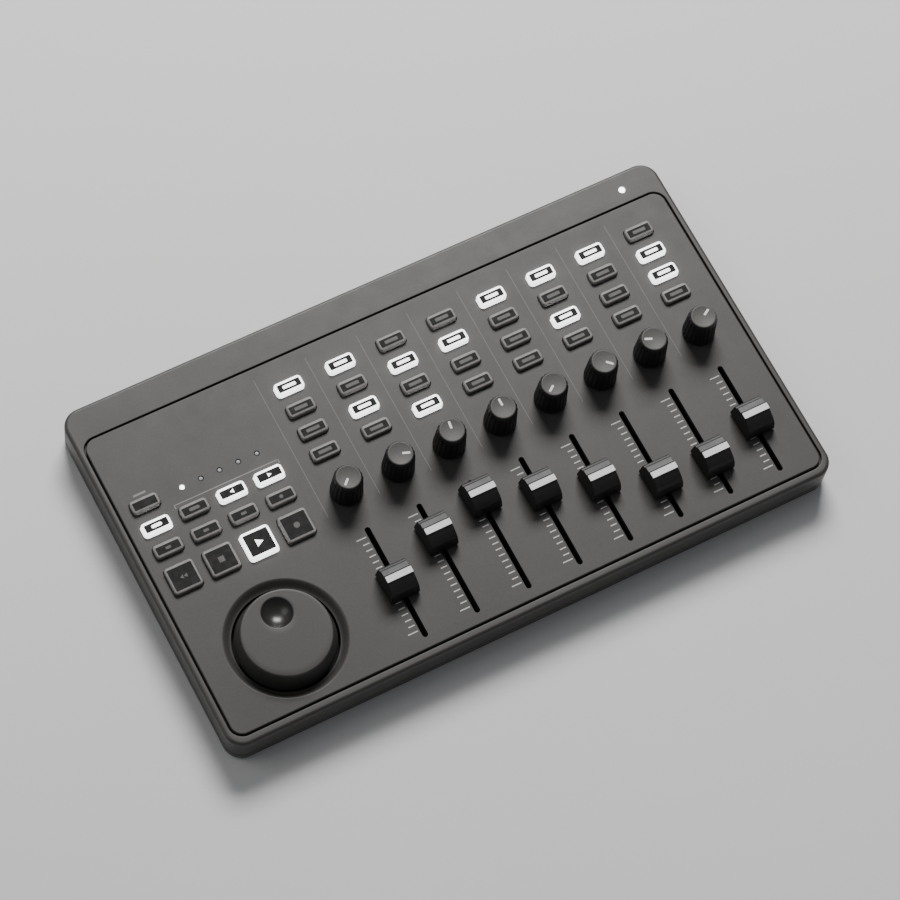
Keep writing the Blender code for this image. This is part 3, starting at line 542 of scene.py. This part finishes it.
def top_case():
    """Upper shell, its rim rounded all round and let in for the panel."""
    bottom = CASE_LOW.z
    ledge_top = PANEL_BOTTOM - LEDGE_GAP
    ledge_bottom = ledge_top - LEDGE_THICKNESS
    rings = [case_ring(SPLIT_CHAMFER, bottom), case_ring(0, bottom + SPLIT_CHAMFER)]
    rings += [case_ring(inset, height)
              for inset, height in rounding(RIM_ROUNDING, 10, top=CASE_TOP)]
    rings += [panel_ring(GROOVE + LIP_ROUNDING, CASE_TOP),
              panel_ring(GROOVE + 0.3 * LIP_ROUNDING, CASE_TOP - 0.3 * LIP_ROUNDING),
              panel_ring(GROOVE, CASE_TOP - LIP_ROUNDING), panel_ring(GROOVE, ledge_top),
              panel_ring(GROOVE - LEDGE_REACH, ledge_top, LEDGE_CORNER),
              panel_ring(GROOVE - LEDGE_REACH, ledge_bottom, LEDGE_CORNER),
              case_ring(CASE_WALL, ledge_bottom), case_ring(CASE_WALL, bottom)]
    bm = bmesh.new()
    add_loft(bm, rings, loop=True)
    shell = make("top_case_shell", bm, ["case"])
    holes = bmesh.new()
    slider_low, slider_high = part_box("power_switch")
    window = Vector((slider_high.x - SWITCH_SETBACK, 0, (slider_low.z + slider_high.z) / 2))
    for place, size in ((middle("usb_socket"), USB_OPENING), (window, SWITCH_OPENING)):
        outline = rounded_rectangle(*size, REAR_OPENING_CORNER, 4)
        add_skin(holes, [[(place.x + x, y, place.z + z) for x, z in outline]
                         for y in (CASE_HIGH.y - CASE_WALL - OVERSHOOT,
                                   CASE_HIGH.y + OVERSHOOT)])
    lamp = middle("power_lamp")
    add_prism(holes, circle(POWER_LAMP_OPENING, 32, (lamp.x, lamp.y)),
              ledge_bottom - OVERSHOOT, CASE_TOP + OVERSHOOT)
    cut(shell, holes)
    settle(shell)
    attach(shell, "chassis", "case_plastic", "top_case")


def panel():
    """Control panel with fine-edged openings and the smooth dish round the jog wheel."""
    jog = middle("jog_wheel")
    centre = (jog.x, jog.y)
    rings = [panel_ring(0, PANEL_BOTTOM)]
    rings += [panel_ring(-inset, height)
              for inset, height in rounding(PANEL_ROUNDING, 4, top=PANEL_TOP)]
    bm = bmesh.new()
    add_loft(bm, rings)
    face = make("control_panel_face", bm, ["panel"])
    boss = bmesh.new()
    add_prism(boss, circle(DISH_BOSS, DISH_STEPS, centre), PANEL_LOW.z, PANEL_BOTTOM + 0.5 * MM)
    cut(face, boss, "UNION")
    dish = bmesh.new()
    profile = [(DISH_INNER, PANEL_LOW.z - OVERSHOOT)]
    for step in range(13):
        share = step / 12
        eased = share * share * (3 - 2 * share)
        profile.append((DISH_INNER + (DISH_OUTER - DISH_INNER) * share,
                        PANEL_TOP - DISH_DROP * (1 - eased)))
    profile.append((DISH_OUTER, PANEL_TOP + OVERSHOOT))
    add_loft(dish, [(circle(radius, DISH_STEPS, centre), height) for radius, height in profile])
    cut(face, dish)
    openings = [rounded_rectangle(width + 2 * KEY_GAP, depth + 2 * KEY_GAP,
                                  KEY_OPENING_CORNER, 6, (place.x, place.y))
                for place, width, depth in key_places()]
    for channel in CHANNELS:
        knob = middle(f"knob_{channel}")
        openings += [circle(SHAFT_OPENING, 32, (knob.x, knob.y)),
                     rounded_rectangle(SLOT_WIDTH, SLOT_LENGTH, SLOT_WIDTH / 2 - HAIR, 8,
                                       (knob.x, SLOT_Y))]
    openings += [circle(LAMP_OPENING, 24, (place.x, place.y)) for place in scene_lamp_places()]
    holes = bmesh.new()
    for outline in openings:
        add_prism(holes, outline, PANEL_LOW.z - OVERSHOOT, PANEL_TOP + OVERSHOOT)
    cut(face, holes)
    soften(face, PANEL_EDGE)
    settle(face, 24)
    attach(face, "chassis", "panel_plastic", "control_panel")


def bottom_case():
    """Lower shell with the door's opening, foot recesses and screw wells."""
    round_top = TRAY_BOTTOM + TRAY_ROUNDING
    rings = [case_ring(inset, 2 * round_top - height - TRAY_ROUNDING)
             for inset, height in reversed(rounding(TRAY_ROUNDING, 8, top=round_top))]
    rings += [case_ring(0, TRAY_SPLIT - SPLIT_CHAMFER), case_ring(SPLIT_CHAMFER, TRAY_SPLIT),
              case_ring(TRAY_WALL, TRAY_SPLIT), case_ring(TRAY_WALL, TRAY_FLOOR)]
    bm = bmesh.new()
    add_loft(bm, rings)
    tray = make("bottom_case_shell", bm, ["case"])
    door_low, door_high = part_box("battery_door")
    opening = bmesh.new()
    add_box(opening, (door_low.x + DOOR_LEDGE, door_low.y - DOOR_GAP, 0),
            (door_high.x - DOOR_LEDGE, CASE_HIGH.y + OVERSHOOT, door_high.z + DOOR_GAP))
    cut(tray, opening)
    bay = bmesh.new()
    add_box(bay, (door_low.x + BAY_SIDE_LEDGE, door_low.y + BAY_FRONT_LEDGE, 0),
            (door_high.x - BAY_SIDE_LEDGE, CASE_HIGH.y - BAY_REAR_LEDGE, TRAY_SPLIT))
    cut(tray, bay)
    wells = bmesh.new()
    for number in SCREWS:
        screw = middle(f"case_screw_{number}")
        add_prism(wells, circle(SCREW_WELL, 32, (screw.x, screw.y)), 0, SCREW_WELL_TOP)
    for foot in FEET:
        low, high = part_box(foot)
        outline = rounded_rectangle(high.x - low.x + 2 * DOOR_GAP, high.y - low.y + 2 * DOOR_GAP,
                                    (high.y - low.y) / 2 + DOOR_GAP - HAIR, 8,
                                    ((low.x + high.x) / 2, (low.y + high.y) / 2))
        add_prism(wells, outline, 0, high.z + DOOR_GAP)
    cut(tray, wells)
    settle(tray)
    attach(tray, "chassis", "case_plastic", "bottom_case")


def battery_door():
    """Door with softened edges and a ribbed thumb grip."""
    low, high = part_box("battery_door")
    centre = (low + high) / 2
    bm = bmesh.new()
    add_box(bm, (low.x + DOOR_TONGUE, low.y, low.z), (high.x - DOOR_TONGUE, high.y, high.z))
    door = make("battery_door_plate", bm, ["case"])
    grip = bmesh.new()
    for rib in range(GRIP_RIBS):
        y = centre.y + (rib - (GRIP_RIBS - 1) / 2) * GRIP_PITCH
        add_prism(grip, rounded_rectangle(20 * MM, 0.8 * MM, 0.4 * MM - HAIR, 4, (centre.x, y)),
                  0, low.z + GRIP_DEPTH)
    cut(door, grip)
    soften(door, 0.15 * MM)
    settle(door)
    attach(door, "battery_door", "case_plastic", "battery_door")


def feet():
    """Rubber strips with a soft lower edge."""
    for name in FEET:
        low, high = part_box(name)
        centre = ((low.x + high.x) / 2, (low.y + high.y) / 2)
        width, depth = high.x - low.x, high.y - low.y
        rings = []
        for inset, height in ((0.5 * MM, low.z), (0.15 * MM, low.z + 0.12 * MM),
                              (0, low.z + 0.45 * MM), (0, high.z)):
            rings.append((rounded_rectangle(width - 2 * inset, depth - 2 * inset,
                                            depth / 2 - inset - HAIR, 10, centre), height))
        bm = bmesh.new()
        add_loft(bm, rings)
        attach(make(f"{name}_strip", bm, ["rubber"]), "chassis", "foot_rubber", name)


def screws():
    """Pan heads with a cross recess, seen in their wells, and plain shanks."""
    steps, shank = 40, 1.15 * MM
    head = [(1.7, 0.0), (2.1, 0.12), (2.42, 0.35), (2.6, 0.7), (2.6, 1.5)]
    arm, half, taper = 1.35 * MM, 0.28 * MM, 0.55
    cross = [(arm, -half), (arm, half), (half, half), (half, arm), (-half, arm), (-half, half),
             (-arm, half), (-arm, -half), (-half, -half), (-half, -arm), (half, -arm),
             (half, -half)]
    tip = [(x * taper, y * taper) for x, y in cross]
    for number in SCREWS:
        node = f"case_screw_{number}"
        low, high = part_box(node)
        centre = ((low.x + high.x) / 2, (low.y + high.y) / 2)
        rings = [(circle(radius * MM, steps, centre), low.z + rise * MM)
                 for radius, rise in head]
        rings += [(circle(shank, steps, centre), low.z + head[-1][1] * MM),
                  (circle(shank, steps, centre), high.z)]
        bm = bmesh.new()
        add_loft(bm, rings)
        screw = make(f"{node}_body", bm, ["steel"])
        recess = bmesh.new()
        add_loft(recess, [(moved(cross, centre), low.z - 0.5 * MM),
                          (moved(cross, centre), low.z + 0.1 * MM),
                          (moved(tip, centre), low.z + 1.1 * MM)])
        cut(screw, recess)
        settle(screw)
        attach(screw, "chassis", "plated_steel", node)


# ---------------------------------------------------------------- keys
KEY_WIDTH, KEY_DEPTH = 12.3 * MM, 6.0 * MM
KEY_ROWS = 4
KEY_CORNER = 1.6 * MM
KEY_ROUNDING = 0.8 * MM
PAINT_MARGIN = (2.1 * MM, 2.5 * MM)
PAINT_CORNER = 0.35 * MM
FLANGE = 1.6 * MM

# Rows, from the rear, whose key is lit in each channel
LIT_ROWS = {1: (0,), 2: (0, 2), 3: (1, 3), 4: (1,), 5: (0,), 6: (0, 2), 7: (0,), 8: (1, 2)}
LIT_LEFT_KEYS = ("track_back_key", "marker_back_key", "marker_next_key", "play_key")

# The mark on each key at the left
LEFT_KEYS = {"scene_key": "plain", "track_back_key": "bar", "track_next_key": "short",
             "marker_set_key": "bar", "marker_back_key": "back", "marker_next_key": "next",
             "cycle_key": "short", "shift_key": "short", "tap_key": "dot",
             "rewind_key": "rewind", "stop_key": "stop", "play_key": "play",
             "record_key": "record"}

# Flat outlines of the marks, in millimetres
MARKS = {
    "plain": [],
    "window": [rounded_rectangle(5.9, 1.5, 0.4, 5)],
    "bar": [rounded_rectangle(4.6, 1.5, 0.7, 5)],
    "short": [rounded_rectangle(2.4, 1.2, 0.4, 5)],
    "dot": [circle(0.8, 32)],
    "next": [[(-0.75, -0.9), (0.95, 0.0), (-0.75, 0.9)]],
    "back": [[(0.75, 0.9), (-0.95, 0.0), (0.75, -0.9)]],
    "rewind": [[(-0.05, 0.95), (-1.6, 0.0), (-0.05, -0.95)],
               [(1.65, 0.95), (0.1, 0.0), (1.65, -0.95)]],
    "stop": [[(-1.25, -1.25), (1.25, -1.25), (1.25, 1.25), (-1.25, 1.25)]],
    "play": [[(-1.3, -1.7), (1.8, 0.0), (-1.3, 1.7)]],
    "record": [circle(1.3, 32)],
}


def channel_key_places(channel):
    low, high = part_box(f"channel_{channel}_keys")
    first = high.y - FLANGE - KEY_DEPTH / 2
    last = low.y + FLANGE + KEY_DEPTH / 2
    x = (low.x + high.x) / 2
    return [Vector((x, first + (last - first) * row / (KEY_ROWS - 1), 0))
            for row in range(KEY_ROWS)]


def left_key_place(name):
    """Centre, width and depth of a key at the left, without its flange."""
    low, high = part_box(name)
    return (low + high) / 2, high.x - low.x - 2 * FLANGE, high.y - low.y - 2 * FLANGE


def key_places():
    """Centre, width and depth of every key."""
    places = [(place, KEY_WIDTH, KEY_DEPTH)
              for channel in CHANNELS for place in channel_key_places(channel)]
    return places + [left_key_place(name) for name in LEFT_KEYS]


def add_key(bm, place, width, depth, mark, flange=()):
    """Key with silicone rim (0), painted top (1) and see-through mark (2)."""
    centre = (place.x, place.y)

    def ring(inset, height):
        return (rounded_rectangle(width - 2 * inset, depth - 2 * inset, KEY_CORNER - inset, 6,
                                  centre), height)

    def paint(inset, height):
        return (rounded_rectangle(width - PAINT_MARGIN[0] - 2 * inset,
                                  depth - PAINT_MARGIN[1] - 2 * inset, PAINT_CORNER, 6,
                                  centre), height)

    rings = [ring(-FLANGE, height) for height in flange] + [ring(0, WEB_TOP)]
    rings += [ring(inset, height)
              for inset, height in rounding(KEY_ROUNDING, 6, top=KEY_TOP - 0.04 * MM)]
    rings += [paint(0, KEY_TOP - 0.02 * MM), paint(0.02 * MM, KEY_TOP - 0.005 * MM),
              paint(0.5 * MM, KEY_TOP)]
    rim = len(rings) - 2
    add_loft(bm, rings, slots=[0] * rim + [1, 1])
    for outline in MARKS[mark]:
        points = [(place.x + x * MM, place.y + y * MM) for x, y in outline]
        add_prism(bm, points, KEY_TOP - 0.2 * MM, KEY_TOP + 0.03 * MM, 2)


def key_looks(lit):
    return ["silicone_lit", "key_paint", "symbol_lit"] if lit else \
        ["silicone", "key_paint", "symbol"]


def channel_keys():
    """Four key caps per channel and the web that joins them under the panel."""
    for channel in CHANNELS:
        node = f"channel_{channel}_keys"
        low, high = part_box(node)
        centre = ((low.x + high.x) / 2, (low.y + high.y) / 2)
        outline = rounded_rectangle(high.x - low.x, high.y - low.y, 1.2 * MM, 4, centre)
        bm = bmesh.new()
        add_prism(bm, outline, low.z, WEB_TOP)
        attach(make(f"channel_{channel}_web", bm, ["silicone"]), node, "key_silicone", node)
        for row, place in enumerate(channel_key_places(channel)):
            bm = bmesh.new()
            add_key(bm, place, KEY_WIDTH, KEY_DEPTH, "window")
            lit = row in LIT_ROWS[channel]
            cap = make(f"channel_{channel}_key_{row + 1}", bm, key_looks(lit))
            attach(cap, node, "key_silicone")


def left_keys():
    """Single keys, each with its own flange under the panel."""
    for name, mark in LEFT_KEYS.items():
        bm = bmesh.new()
        add_key(bm, *left_key_place(name), mark, (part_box(name)[0].z, WEB_TOP - HAIR))
        cap = make(f"{name}_cap", bm, key_looks(name in LIT_LEFT_KEYS))
        attach(cap, name, "key_silicone", name)


# ---------------------------------------------------------------- knobs, faders, jog wheel
# Radius, height above the skirt's base, and share of the flutes' depth, in millimetres
KNOB_SKIRT = [(6.6, 0.0, 0), (6.85, 0.15, 0), (6.9, 0.8, 0), (6.86, 1.3, 1), (6.728, 3.44, 1),
              (6.596, 5.58, 1), (6.464, 7.72, 1), (6.332, 9.86, 1), (6.2, 12.0, 1)]
# The same, but with depth below the knob's top; the last rings are the top, painted paler as a
# highlight
KNOB_CROWN = [(6.1, 1.75, 0.8), (5.85, 1.2, 0.4), (5.5, 0.62, 0.1), (5.2, 0.2, 0),
              (4.95, 0.03, 0), (4.8, 0.0, 0), (4.5, 0.05, 0), (4.35, 0.12, 0)]
KNOB_TOP_RINGS = 5
KNOB_GAP = 0.7 * MM
KNOB_STEPS = 120
FLUTES = 20
FLUTE_DEPTH = 0.32
SHAFT_RADIUS = 3.0 * MM

# Fader cap from front to rear: distance from its middle and height, in millimetres
FADER_PROFILE = [(-7.1, 0.0), (-7.05, 1.4), (-6.75, 3.8), (-6.2, 5.6), (-5.2, 7.0),
                 (-3.9, 8.0), (-2.8, 8.65), (-1.85, 9.1), (-1.5, 9.6), (1.5, 9.6), (1.7, 9.15),
                 (2.15, 8.7), (2.6, 8.62), (4.5, 8.3), (4.75, 8.05), (4.9, 7.45), (5.2, 7.3),
                 (6.0, 7.0), (6.45, 6.4), (6.75, 3.8), (7.05, 1.4), (7.1, 0.0)]
FADER_HALF_WIDTH = 6.6
FADER_TAPER = 0.085
FADER_HEIGHT = 9.8 * MM
# Half-width, half-depth and height from the cap's top of the pointer bar's rings
POINTER_BAR = [(5.83, 1.38, -0.6), (5.83, 1.38, -0.1), (5.76, 1.31, 0.0)]

WHEEL_STEPS = 128
DIMPLE_OFFSET = Vector((0.3 * MM, 9.2 * MM))
DIMPLE_RADIUS = 6.5 * MM
DIMPLE_DEPTH = 3.1 * MM
DIMPLE_RINGS = 14
DIMPLE_LIP = 0.35 * MM
WHEEL_FLAT = 18.0 * MM
# Radius and height from the wheel's top, in millimetres
WHEEL_RIM = [(18.25, -0.04), (18.45, -0.15), (18.6, -0.34), (18.7, -0.6), (18.85, -1.1),
             (19.15, -2.4), (19.5, -3.9), (19.9, -5.5), (20.4, -7.4), (20.75, -8.8),
             (20.9, -9.3), (19.0, -9.3), (17.2, -4.6), (3.0, -4.6)]


def knobs():
    """Fluted, tapered knobs with a flat top painted paler as a highlight, and a white pointer.
    """
    base = PANEL_TOP + KNOB_GAP
    for channel in CHANNELS:
        node = f"knob_{channel}"
        low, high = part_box(node)
        joint = [j for j in frame["joints"] if j["child"] == node][0]
        turn = -math.radians(sum(joint["range_deg"]) / 2)
        centre = (joint["pos_m"][0], joint["pos_m"][1])
        profile = [(radius, base + rise * MM, flute) for radius, rise, flute in KNOB_SKIRT]
        profile += [(radius, high.z - drop * MM, flute) for radius, drop, flute in KNOB_CROWN]
        rings = [(circle(SHAFT_RADIUS, KNOB_STEPS, centre), low.z),
                 (circle(SHAFT_RADIUS, KNOB_STEPS, centre), base)]
        for radius, height, flute in profile:
            points = []
            for step in range(KNOB_STEPS):
                angle = 2 * math.pi * step / KNOB_STEPS
                wave = 0.5 + 0.5 * math.cos(FLUTES * angle)
                reach = (radius - FLUTE_DEPTH * flute * wave ** 2) * MM
                points.append((centre[0] + reach * math.cos(angle + turn),
                               centre[1] + reach * math.sin(angle + turn)))
            rings.append((points, height))
        slots = [0] * (len(rings) - KNOB_TOP_RINGS) + [1] * KNOB_TOP_RINGS
        bm = bmesh.new()
        add_loft(bm, rings, slots)
        attach(make(f"{node}_body", bm, ["knob", "knob_highlit_top"]), node, "knob_plastic", node)
        bm = bmesh.new()
        outline = rounded_rectangle(0.95 * MM, 3.3 * MM, 0.3 * MM, 4, (0, 2.35 * MM))
        add_prism(bm, outline, high.z - 0.3 * MM, high.z - 0.03 * MM)
        pointer = make(f"{node}_pointer", bm, ["pointer"])
        pointer.location = (*centre, 0)
        pointer.rotation_euler = (0, 0, turn)
        attach(pointer, node, "knob_plastic")


def faders():
    """Fader caps: plain front slope, ribbed rear slope, white pointer bar on the ridge."""
    for channel in CHANNELS:
        node = f"fader_{channel}"
        low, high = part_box(node)
        place = (low + high) / 2
        base = high.z - FADER_HEIGHT
        bm = bmesh.new()
        add_skin(bm, [[(place.x + side * (FADER_HALF_WIDTH - FADER_TAPER * z) * MM,
                        place.y + y * MM, base + z * MM) for y, z in FADER_PROFILE]
                      for side in (-1, 1)])
        cap = make(f"{node}_cap", bm, ["cap"])
        soften(cap, 0.28 * MM, 3, 12)
        settle(cap, 40)
        attach(cap, node, "cap_plastic", node)
        bm = bmesh.new()
        add_box(bm, (place.x - 0.55 * MM, place.y - 2 * MM, low.z),
                (place.x + 0.55 * MM, place.y + 2 * MM, base + 0.5 * MM))
        attach(make(f"{node}_lever", bm, ["steel"]), node, "plated_steel")
        bm = bmesh.new()
        add_loft(bm, [(rounded_rectangle(2 * x * MM, 2 * y * MM, 0.3 * MM, 4,
                                         (place.x, place.y)), high.z + z * MM)
                      for x, y, z in POINTER_BAR])
        attach(make(f"{node}_pointer", bm, ["pointer"]), node, "cap_plastic")


def jog_wheel():
    """Wheel with a rolled rim; the rings run out of the dimple's middle to the rim."""
    low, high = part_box("jog_wheel")
    centre = Vector(((low.x + high.x) / 2, (low.y + high.y) / 2))
    dimple = centre + DIMPLE_OFFSET
    top = high.z
    ball = (DIMPLE_RADIUS ** 2 + DIMPLE_DEPTH ** 2) / (2 * DIMPLE_DEPTH)
    rings = []
    for step in range(1, DIMPLE_RINGS + 1):
        radius = DIMPLE_RADIUS * step / DIMPLE_RINGS
        dip = DIMPLE_DEPTH - ball + math.sqrt(ball ** 2 - radius ** 2)
        rings.append((circle(radius, WHEEL_STEPS, dimple), top - 0.12 * MM - dip))
    lip = DIMPLE_RADIUS + DIMPLE_LIP
    rings += [(circle(DIMPLE_RADIUS + 0.15 * MM, WHEEL_STEPS, dimple), top - 0.03 * MM),
              (circle(lip, WHEEL_STEPS, dimple), top)]
    for step in range(1, 9):
        share = step / 8
        rings.append((circle(lip + (WHEEL_FLAT - lip) * share, WHEEL_STEPS,
                             dimple.lerp(centre, share)), top))
    rings += [(circle(radius * MM, WHEEL_STEPS, centre), top + height * MM)
              for radius, height in WHEEL_RIM]
    rings.append((circle(SHAFT_RADIUS, WHEEL_STEPS, centre), low.z))
    slots = [1] * (DIMPLE_RINGS - 1) + [0] * (len(rings) - DIMPLE_RINGS + 1)
    bm = bmesh.new()
    add_loft(bm, rings, slots)
    wheel = make("jog_wheel_body", bm, ["wheel", "dimple"], 40)
    attach(wheel, "jog_wheel", "panel_plastic", "jog_wheel")


# ---------------------------------------------------------------- lamps and small parts
SCENE_LAMPS = 5
LAMP_MARGIN = 2.5 * MM
LAMP_RADIUS = 0.95 * MM
POWER_LAMP_RADIUS = 1.35 * MM
GUIDE_THICKNESS = 1.6 * MM

# How far the slider's ends lie from its flange's end
SLIDER_ENDS = (8.0 * MM, 2.0 * MM)
SLIDER_RIBS = 4
SLIDER_RIB_PITCH = 1.1 * MM

SOCKET_WALL = 0.4 * MM
SOCKET_CONTACTS = 5
CONTACT_PITCH = 0.75 * MM


def scene_lamp_places():
    low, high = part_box("scene_lamps")
    pitch = (high.x - low.x - 2 * LAMP_MARGIN) / (SCENE_LAMPS - 1)
    return [Vector((low.x + LAMP_MARGIN + pitch * lamp, (low.y + high.y) / 2, 0))
            for lamp in range(SCENE_LAMPS)]


def add_dome(bm, place, radius, bottom, top, slot=0):
    """Pin with a rounded end."""
    rings = [(circle(radius, 28, (place.x, place.y)), bottom)]
    rings += [(circle(radius - inset, 28, (place.x, place.y)), height)
              for inset, height in rounding(radius * 0.6, 5, top=top)]
    add_loft(bm, rings, slots=[slot] * len(rings))


def lamps():
    """Scene lamps, the first one lit, and the lit power lamp in the rear band."""
    low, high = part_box("scene_lamps")
    centre = ((low.x + high.x) / 2, (low.y + high.y) / 2)
    bm = bmesh.new()
    add_prism(bm, rounded_rectangle(high.x - low.x, high.y - low.y, 0.8 * MM, 4, centre),
              low.z, low.z + GUIDE_THICKNESS)
    for index, place in enumerate(scene_lamp_places()):
        add_dome(bm, place, LAMP_RADIUS, low.z + 1 * MM, PANEL_TOP - 0.02 * MM,
                 1 if index == 0 else 0)
    attach(make("scene_lamp_guide", bm, ["lamp", "lamp_lit"]), "chassis", "lens_plastic",
           "scene_lamps")
    low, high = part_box("power_lamp")
    bm = bmesh.new()
    add_dome(bm, (low + high) / 2, POWER_LAMP_RADIUS, low.z, high.z)
    attach(make("power_lamp_lens", bm, ["lamp_lit"]), "chassis", "lens_plastic", "power_lamp")


def power_switch():
    """Slider with grip ribs, and the flange that holds it behind the wall."""
    low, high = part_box("power_switch")
    left, right = (high.x - end for end in SLIDER_ENDS)
    bm = bmesh.new()
    add_box(bm, (left, low.y, low.z + 1 * MM), (right, high.y, high.z - 1 * MM))
    slider = make("power_switch_slider", bm, ["knob"])
    ribs = bmesh.new()
    for rib in range(SLIDER_RIBS):
        x = (left + right) / 2 + (rib - (SLIDER_RIBS - 1) / 2) * SLIDER_RIB_PITCH
        add_box(ribs, (x - 0.25 * MM, high.y - 0.35 * MM, low.z),
                (x + 0.25 * MM, high.y + OVERSHOOT, high.z))
    cut(slider, ribs)
    soften(slider, 0.12 * MM)
    settle(slider)
    attach(slider, "power_switch", "knob_plastic", "power_switch")
    bm = bmesh.new()
    add_box(bm, (low.x, low.y + 0.3 * MM, low.z), (high.x, low.y + 1.7 * MM, high.z))
    attach(make("power_switch_flange", bm, ["knob"]), "power_switch", "knob_plastic")


def usb_socket():
    """Socket shell with rolled lips, its tongue and five contacts inside."""
    low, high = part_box("usb_socket")
    centre = (low + high) / 2
    width, height = high.x - low.x, high.z - low.z

    def outline(inset):
        return rounded_rectangle(width - 2 * inset, height - 2 * inset,
                                 1.0 * MM - 0.6 * inset, 6)

    bm = bmesh.new()
    add_loft(bm, [(outline(0), low.y), (outline(0), high.y - 0.15 * MM),
                  (outline(0.12 * MM), high.y), (outline(SOCKET_WALL - 0.1 * MM), high.y),
                  (outline(SOCKET_WALL), high.y - 0.15 * MM),
                  (outline(SOCKET_WALL), low.y + 0.8 * MM)])
    shell = make("usb_socket_shell", bm, ["steel"])
    bm = bmesh.new()
    add_prism(bm, rounded_rectangle(4.4 * MM, 0.6 * MM, 0.15 * MM, 3, (0, -0.35 * MM)),
              low.y + 0.7 * MM, high.y - 1.1 * MM)
    for contact in range(SOCKET_CONTACTS):
        x = (contact - (SOCKET_CONTACTS - 1) / 2) * CONTACT_PITCH
        add_prism(bm, rounded_rectangle(0.36 * MM, 0.16 * MM, 0.05 * MM, 2, (x, -0.02 * MM)),
                  low.y + 0.7 * MM, high.y - 1.4 * MM, 1)
    insert = make("usb_socket_tongue", bm, ["knob", "steel"])
    for thing in (shell, insert):
        thing.location = (centre.x, 0, centre.z)
        thing.rotation_euler = (-math.pi / 2, 0, 0)
    attach(shell, "chassis", "plated_steel", "usb_socket")
    attach(insert, "chassis", "knob_plastic")


def kept_nodes():
    """CAD nodes that stay as they are and only take a finish."""
    finishes = {"main_board": "board", "key_board": "board", "battery_1": "cell",
                "battery_2": "cell", "battery_contact_left": "steel",
                "battery_contact_right": "steel", "jog_encoder": "steel"}
    for node, look in finishes.items():
        mesh = frame["nodes"][node].data
        mesh.materials.clear()
        mesh.materials.append(LOOK[look])


# ---------------------------------------------------------------- printing on the panel
INK_HEIGHT = 0.012 * MM
SCALE_MARKS = 17
LONG_MARK = 4.4 * MM
SHORT_MARK = 2.8 * MM
SCALE_GAP = 2.0 * MM
BRACKET_OVERHANG = 6.5 * MM


def add_mark(bm, x, y, width, depth):
    """Rectangle of ink; it reaches into the panel so that it has no underside to see."""
    corners = [(x - width / 2, y - depth / 2), (x + width / 2, y - depth / 2),
               (x + width / 2, y + depth / 2), (x - width / 2, y + depth / 2)]
    add_prism(bm, corners, PANEL_TOP - 0.1 * MM, PANEL_TOP + INK_HEIGHT)


def printing():
    """Fader scales, channel dividers, marker bracket and the bar over the scene key."""
    bm = bmesh.new()
    for channel in CHANNELS:
        x = middle(f"fader_{channel}").x
        for mark in range(SCALE_MARKS):
            y = SLOT_Y + FADER_TRAVEL * (mark / (SCALE_MARKS - 1) - 0.5)
            width = LONG_MARK if mark in (0, SCALE_MARKS - 1) else SHORT_MARK
            add_mark(bm, x - SCALE_GAP - width / 2, y, width, 0.45 * MM)
    attach(make("fader_scales", bm, ["ink"]), "chassis", "panel_plastic")
    bm = bmesh.new()
    pitch = middle("fader_2").x - middle("fader_1").x
    rear = PANEL_HIGH.y - 5 * MM
    front = middle("knob_1").y - 7 * MM
    for channel in CHANNELS:
        x = middle(f"fader_{channel}").x - pitch / 2
        add_mark(bm, x, (rear + front) / 2, 0.3 * MM, rear - front)
    attach(make("channel_dividers", bm, ["faint_ink"]), "chassis", "panel_plastic")
    bm = bmesh.new()
    first, last = middle("marker_set_key"), middle("marker_next_key")
    y = first.y + 5.1 * MM
    add_mark(bm, (first.x + last.x) / 2, y, last.x - first.x + 2 * BRACKET_OVERHANG, 0.4 * MM)
    for x in (first.x - BRACKET_OVERHANG, last.x + BRACKET_OVERHANG):
        add_mark(bm, x, y - 0.8 * MM, 0.4 * MM, 1.6 * MM)
    scene = middle("scene_key")
    add_mark(bm, scene.x, scene.y + 5.2 * MM, 5.5 * MM, 0.9 * MM)
    attach(make("marker_bracket", bm, ["grey_ink"]), "chassis", "panel_plastic")


# ---------------------------------------------------------------- stage
def camera():
    """Seen from the front left and well above, as a long lens would see it."""
    data = bpy.data.cameras.new("camera")
    thing = bpy.data.objects.new("camera", data)
    bpy.context.scene.collection.objects.link(thing)
    place = Vector((-0.3635, -0.4505, 1.3079))
    aim = Vector((0.0, -0.001, 0.012))
    upright = Vector((0.3868, 0.8097, 0.4413))
    back = (place - aim).normalized()
    right = upright.cross(back).normalized()
    up = back.cross(right)
    turn = Matrix((right, up, back)).transposed()
    thing.matrix_world = Matrix.Translation(place) @ turn.to_4x4()
    data.lens = 138
    data.sensor_width = 36
    bpy.context.scene.camera = thing


def soft_box(name, place, size, power):
    """Large lamp that faces the desk."""
    data = bpy.data.lights.new(name, "AREA")
    data.shape = "RECTANGLE"
    data.size, data.size_y = size
    data.energy = power
    thing = bpy.data.objects.new(name, data)
    bpy.context.scene.collection.objects.link(thing)
    thing.location = place
    thing.rotation_euler = (-Vector(place)).to_track_quat("-Z", "Y").to_euler()


def stage():
    """Pale floor, key light from behind the desk, weak fill and even studio air."""
    bm = bmesh.new()
    bmesh.ops.create_grid(bm, x_segments=1, y_segments=1, size=3.0)
    floor = make("floor", bm, ["floor"])
    soft_box("key_light", (0.55, 1.15, 1.25), (0.9, 0.65), 44)
    soft_box("fill_light", (-1.1, 0.6, 1.5), (1.0, 1.0), 5)
    world = bpy.data.worlds.new("studio")
    bpy.context.scene.world = world
    world.use_nodes = True
    background = world.node_tree.nodes["Background"]
    background.inputs["Color"].default_value = (0.85, 0.88, 0.92, 1)
    background.inputs["Strength"].default_value = 0.18


camera()
top_case()
panel()
bottom_case()
battery_door()
feet()
screws()
channel_keys()
left_keys()
knobs()
faders()
jog_wheel()
lamps()
power_switch()
usb_socket()
kept_nodes()
printing()
stage()
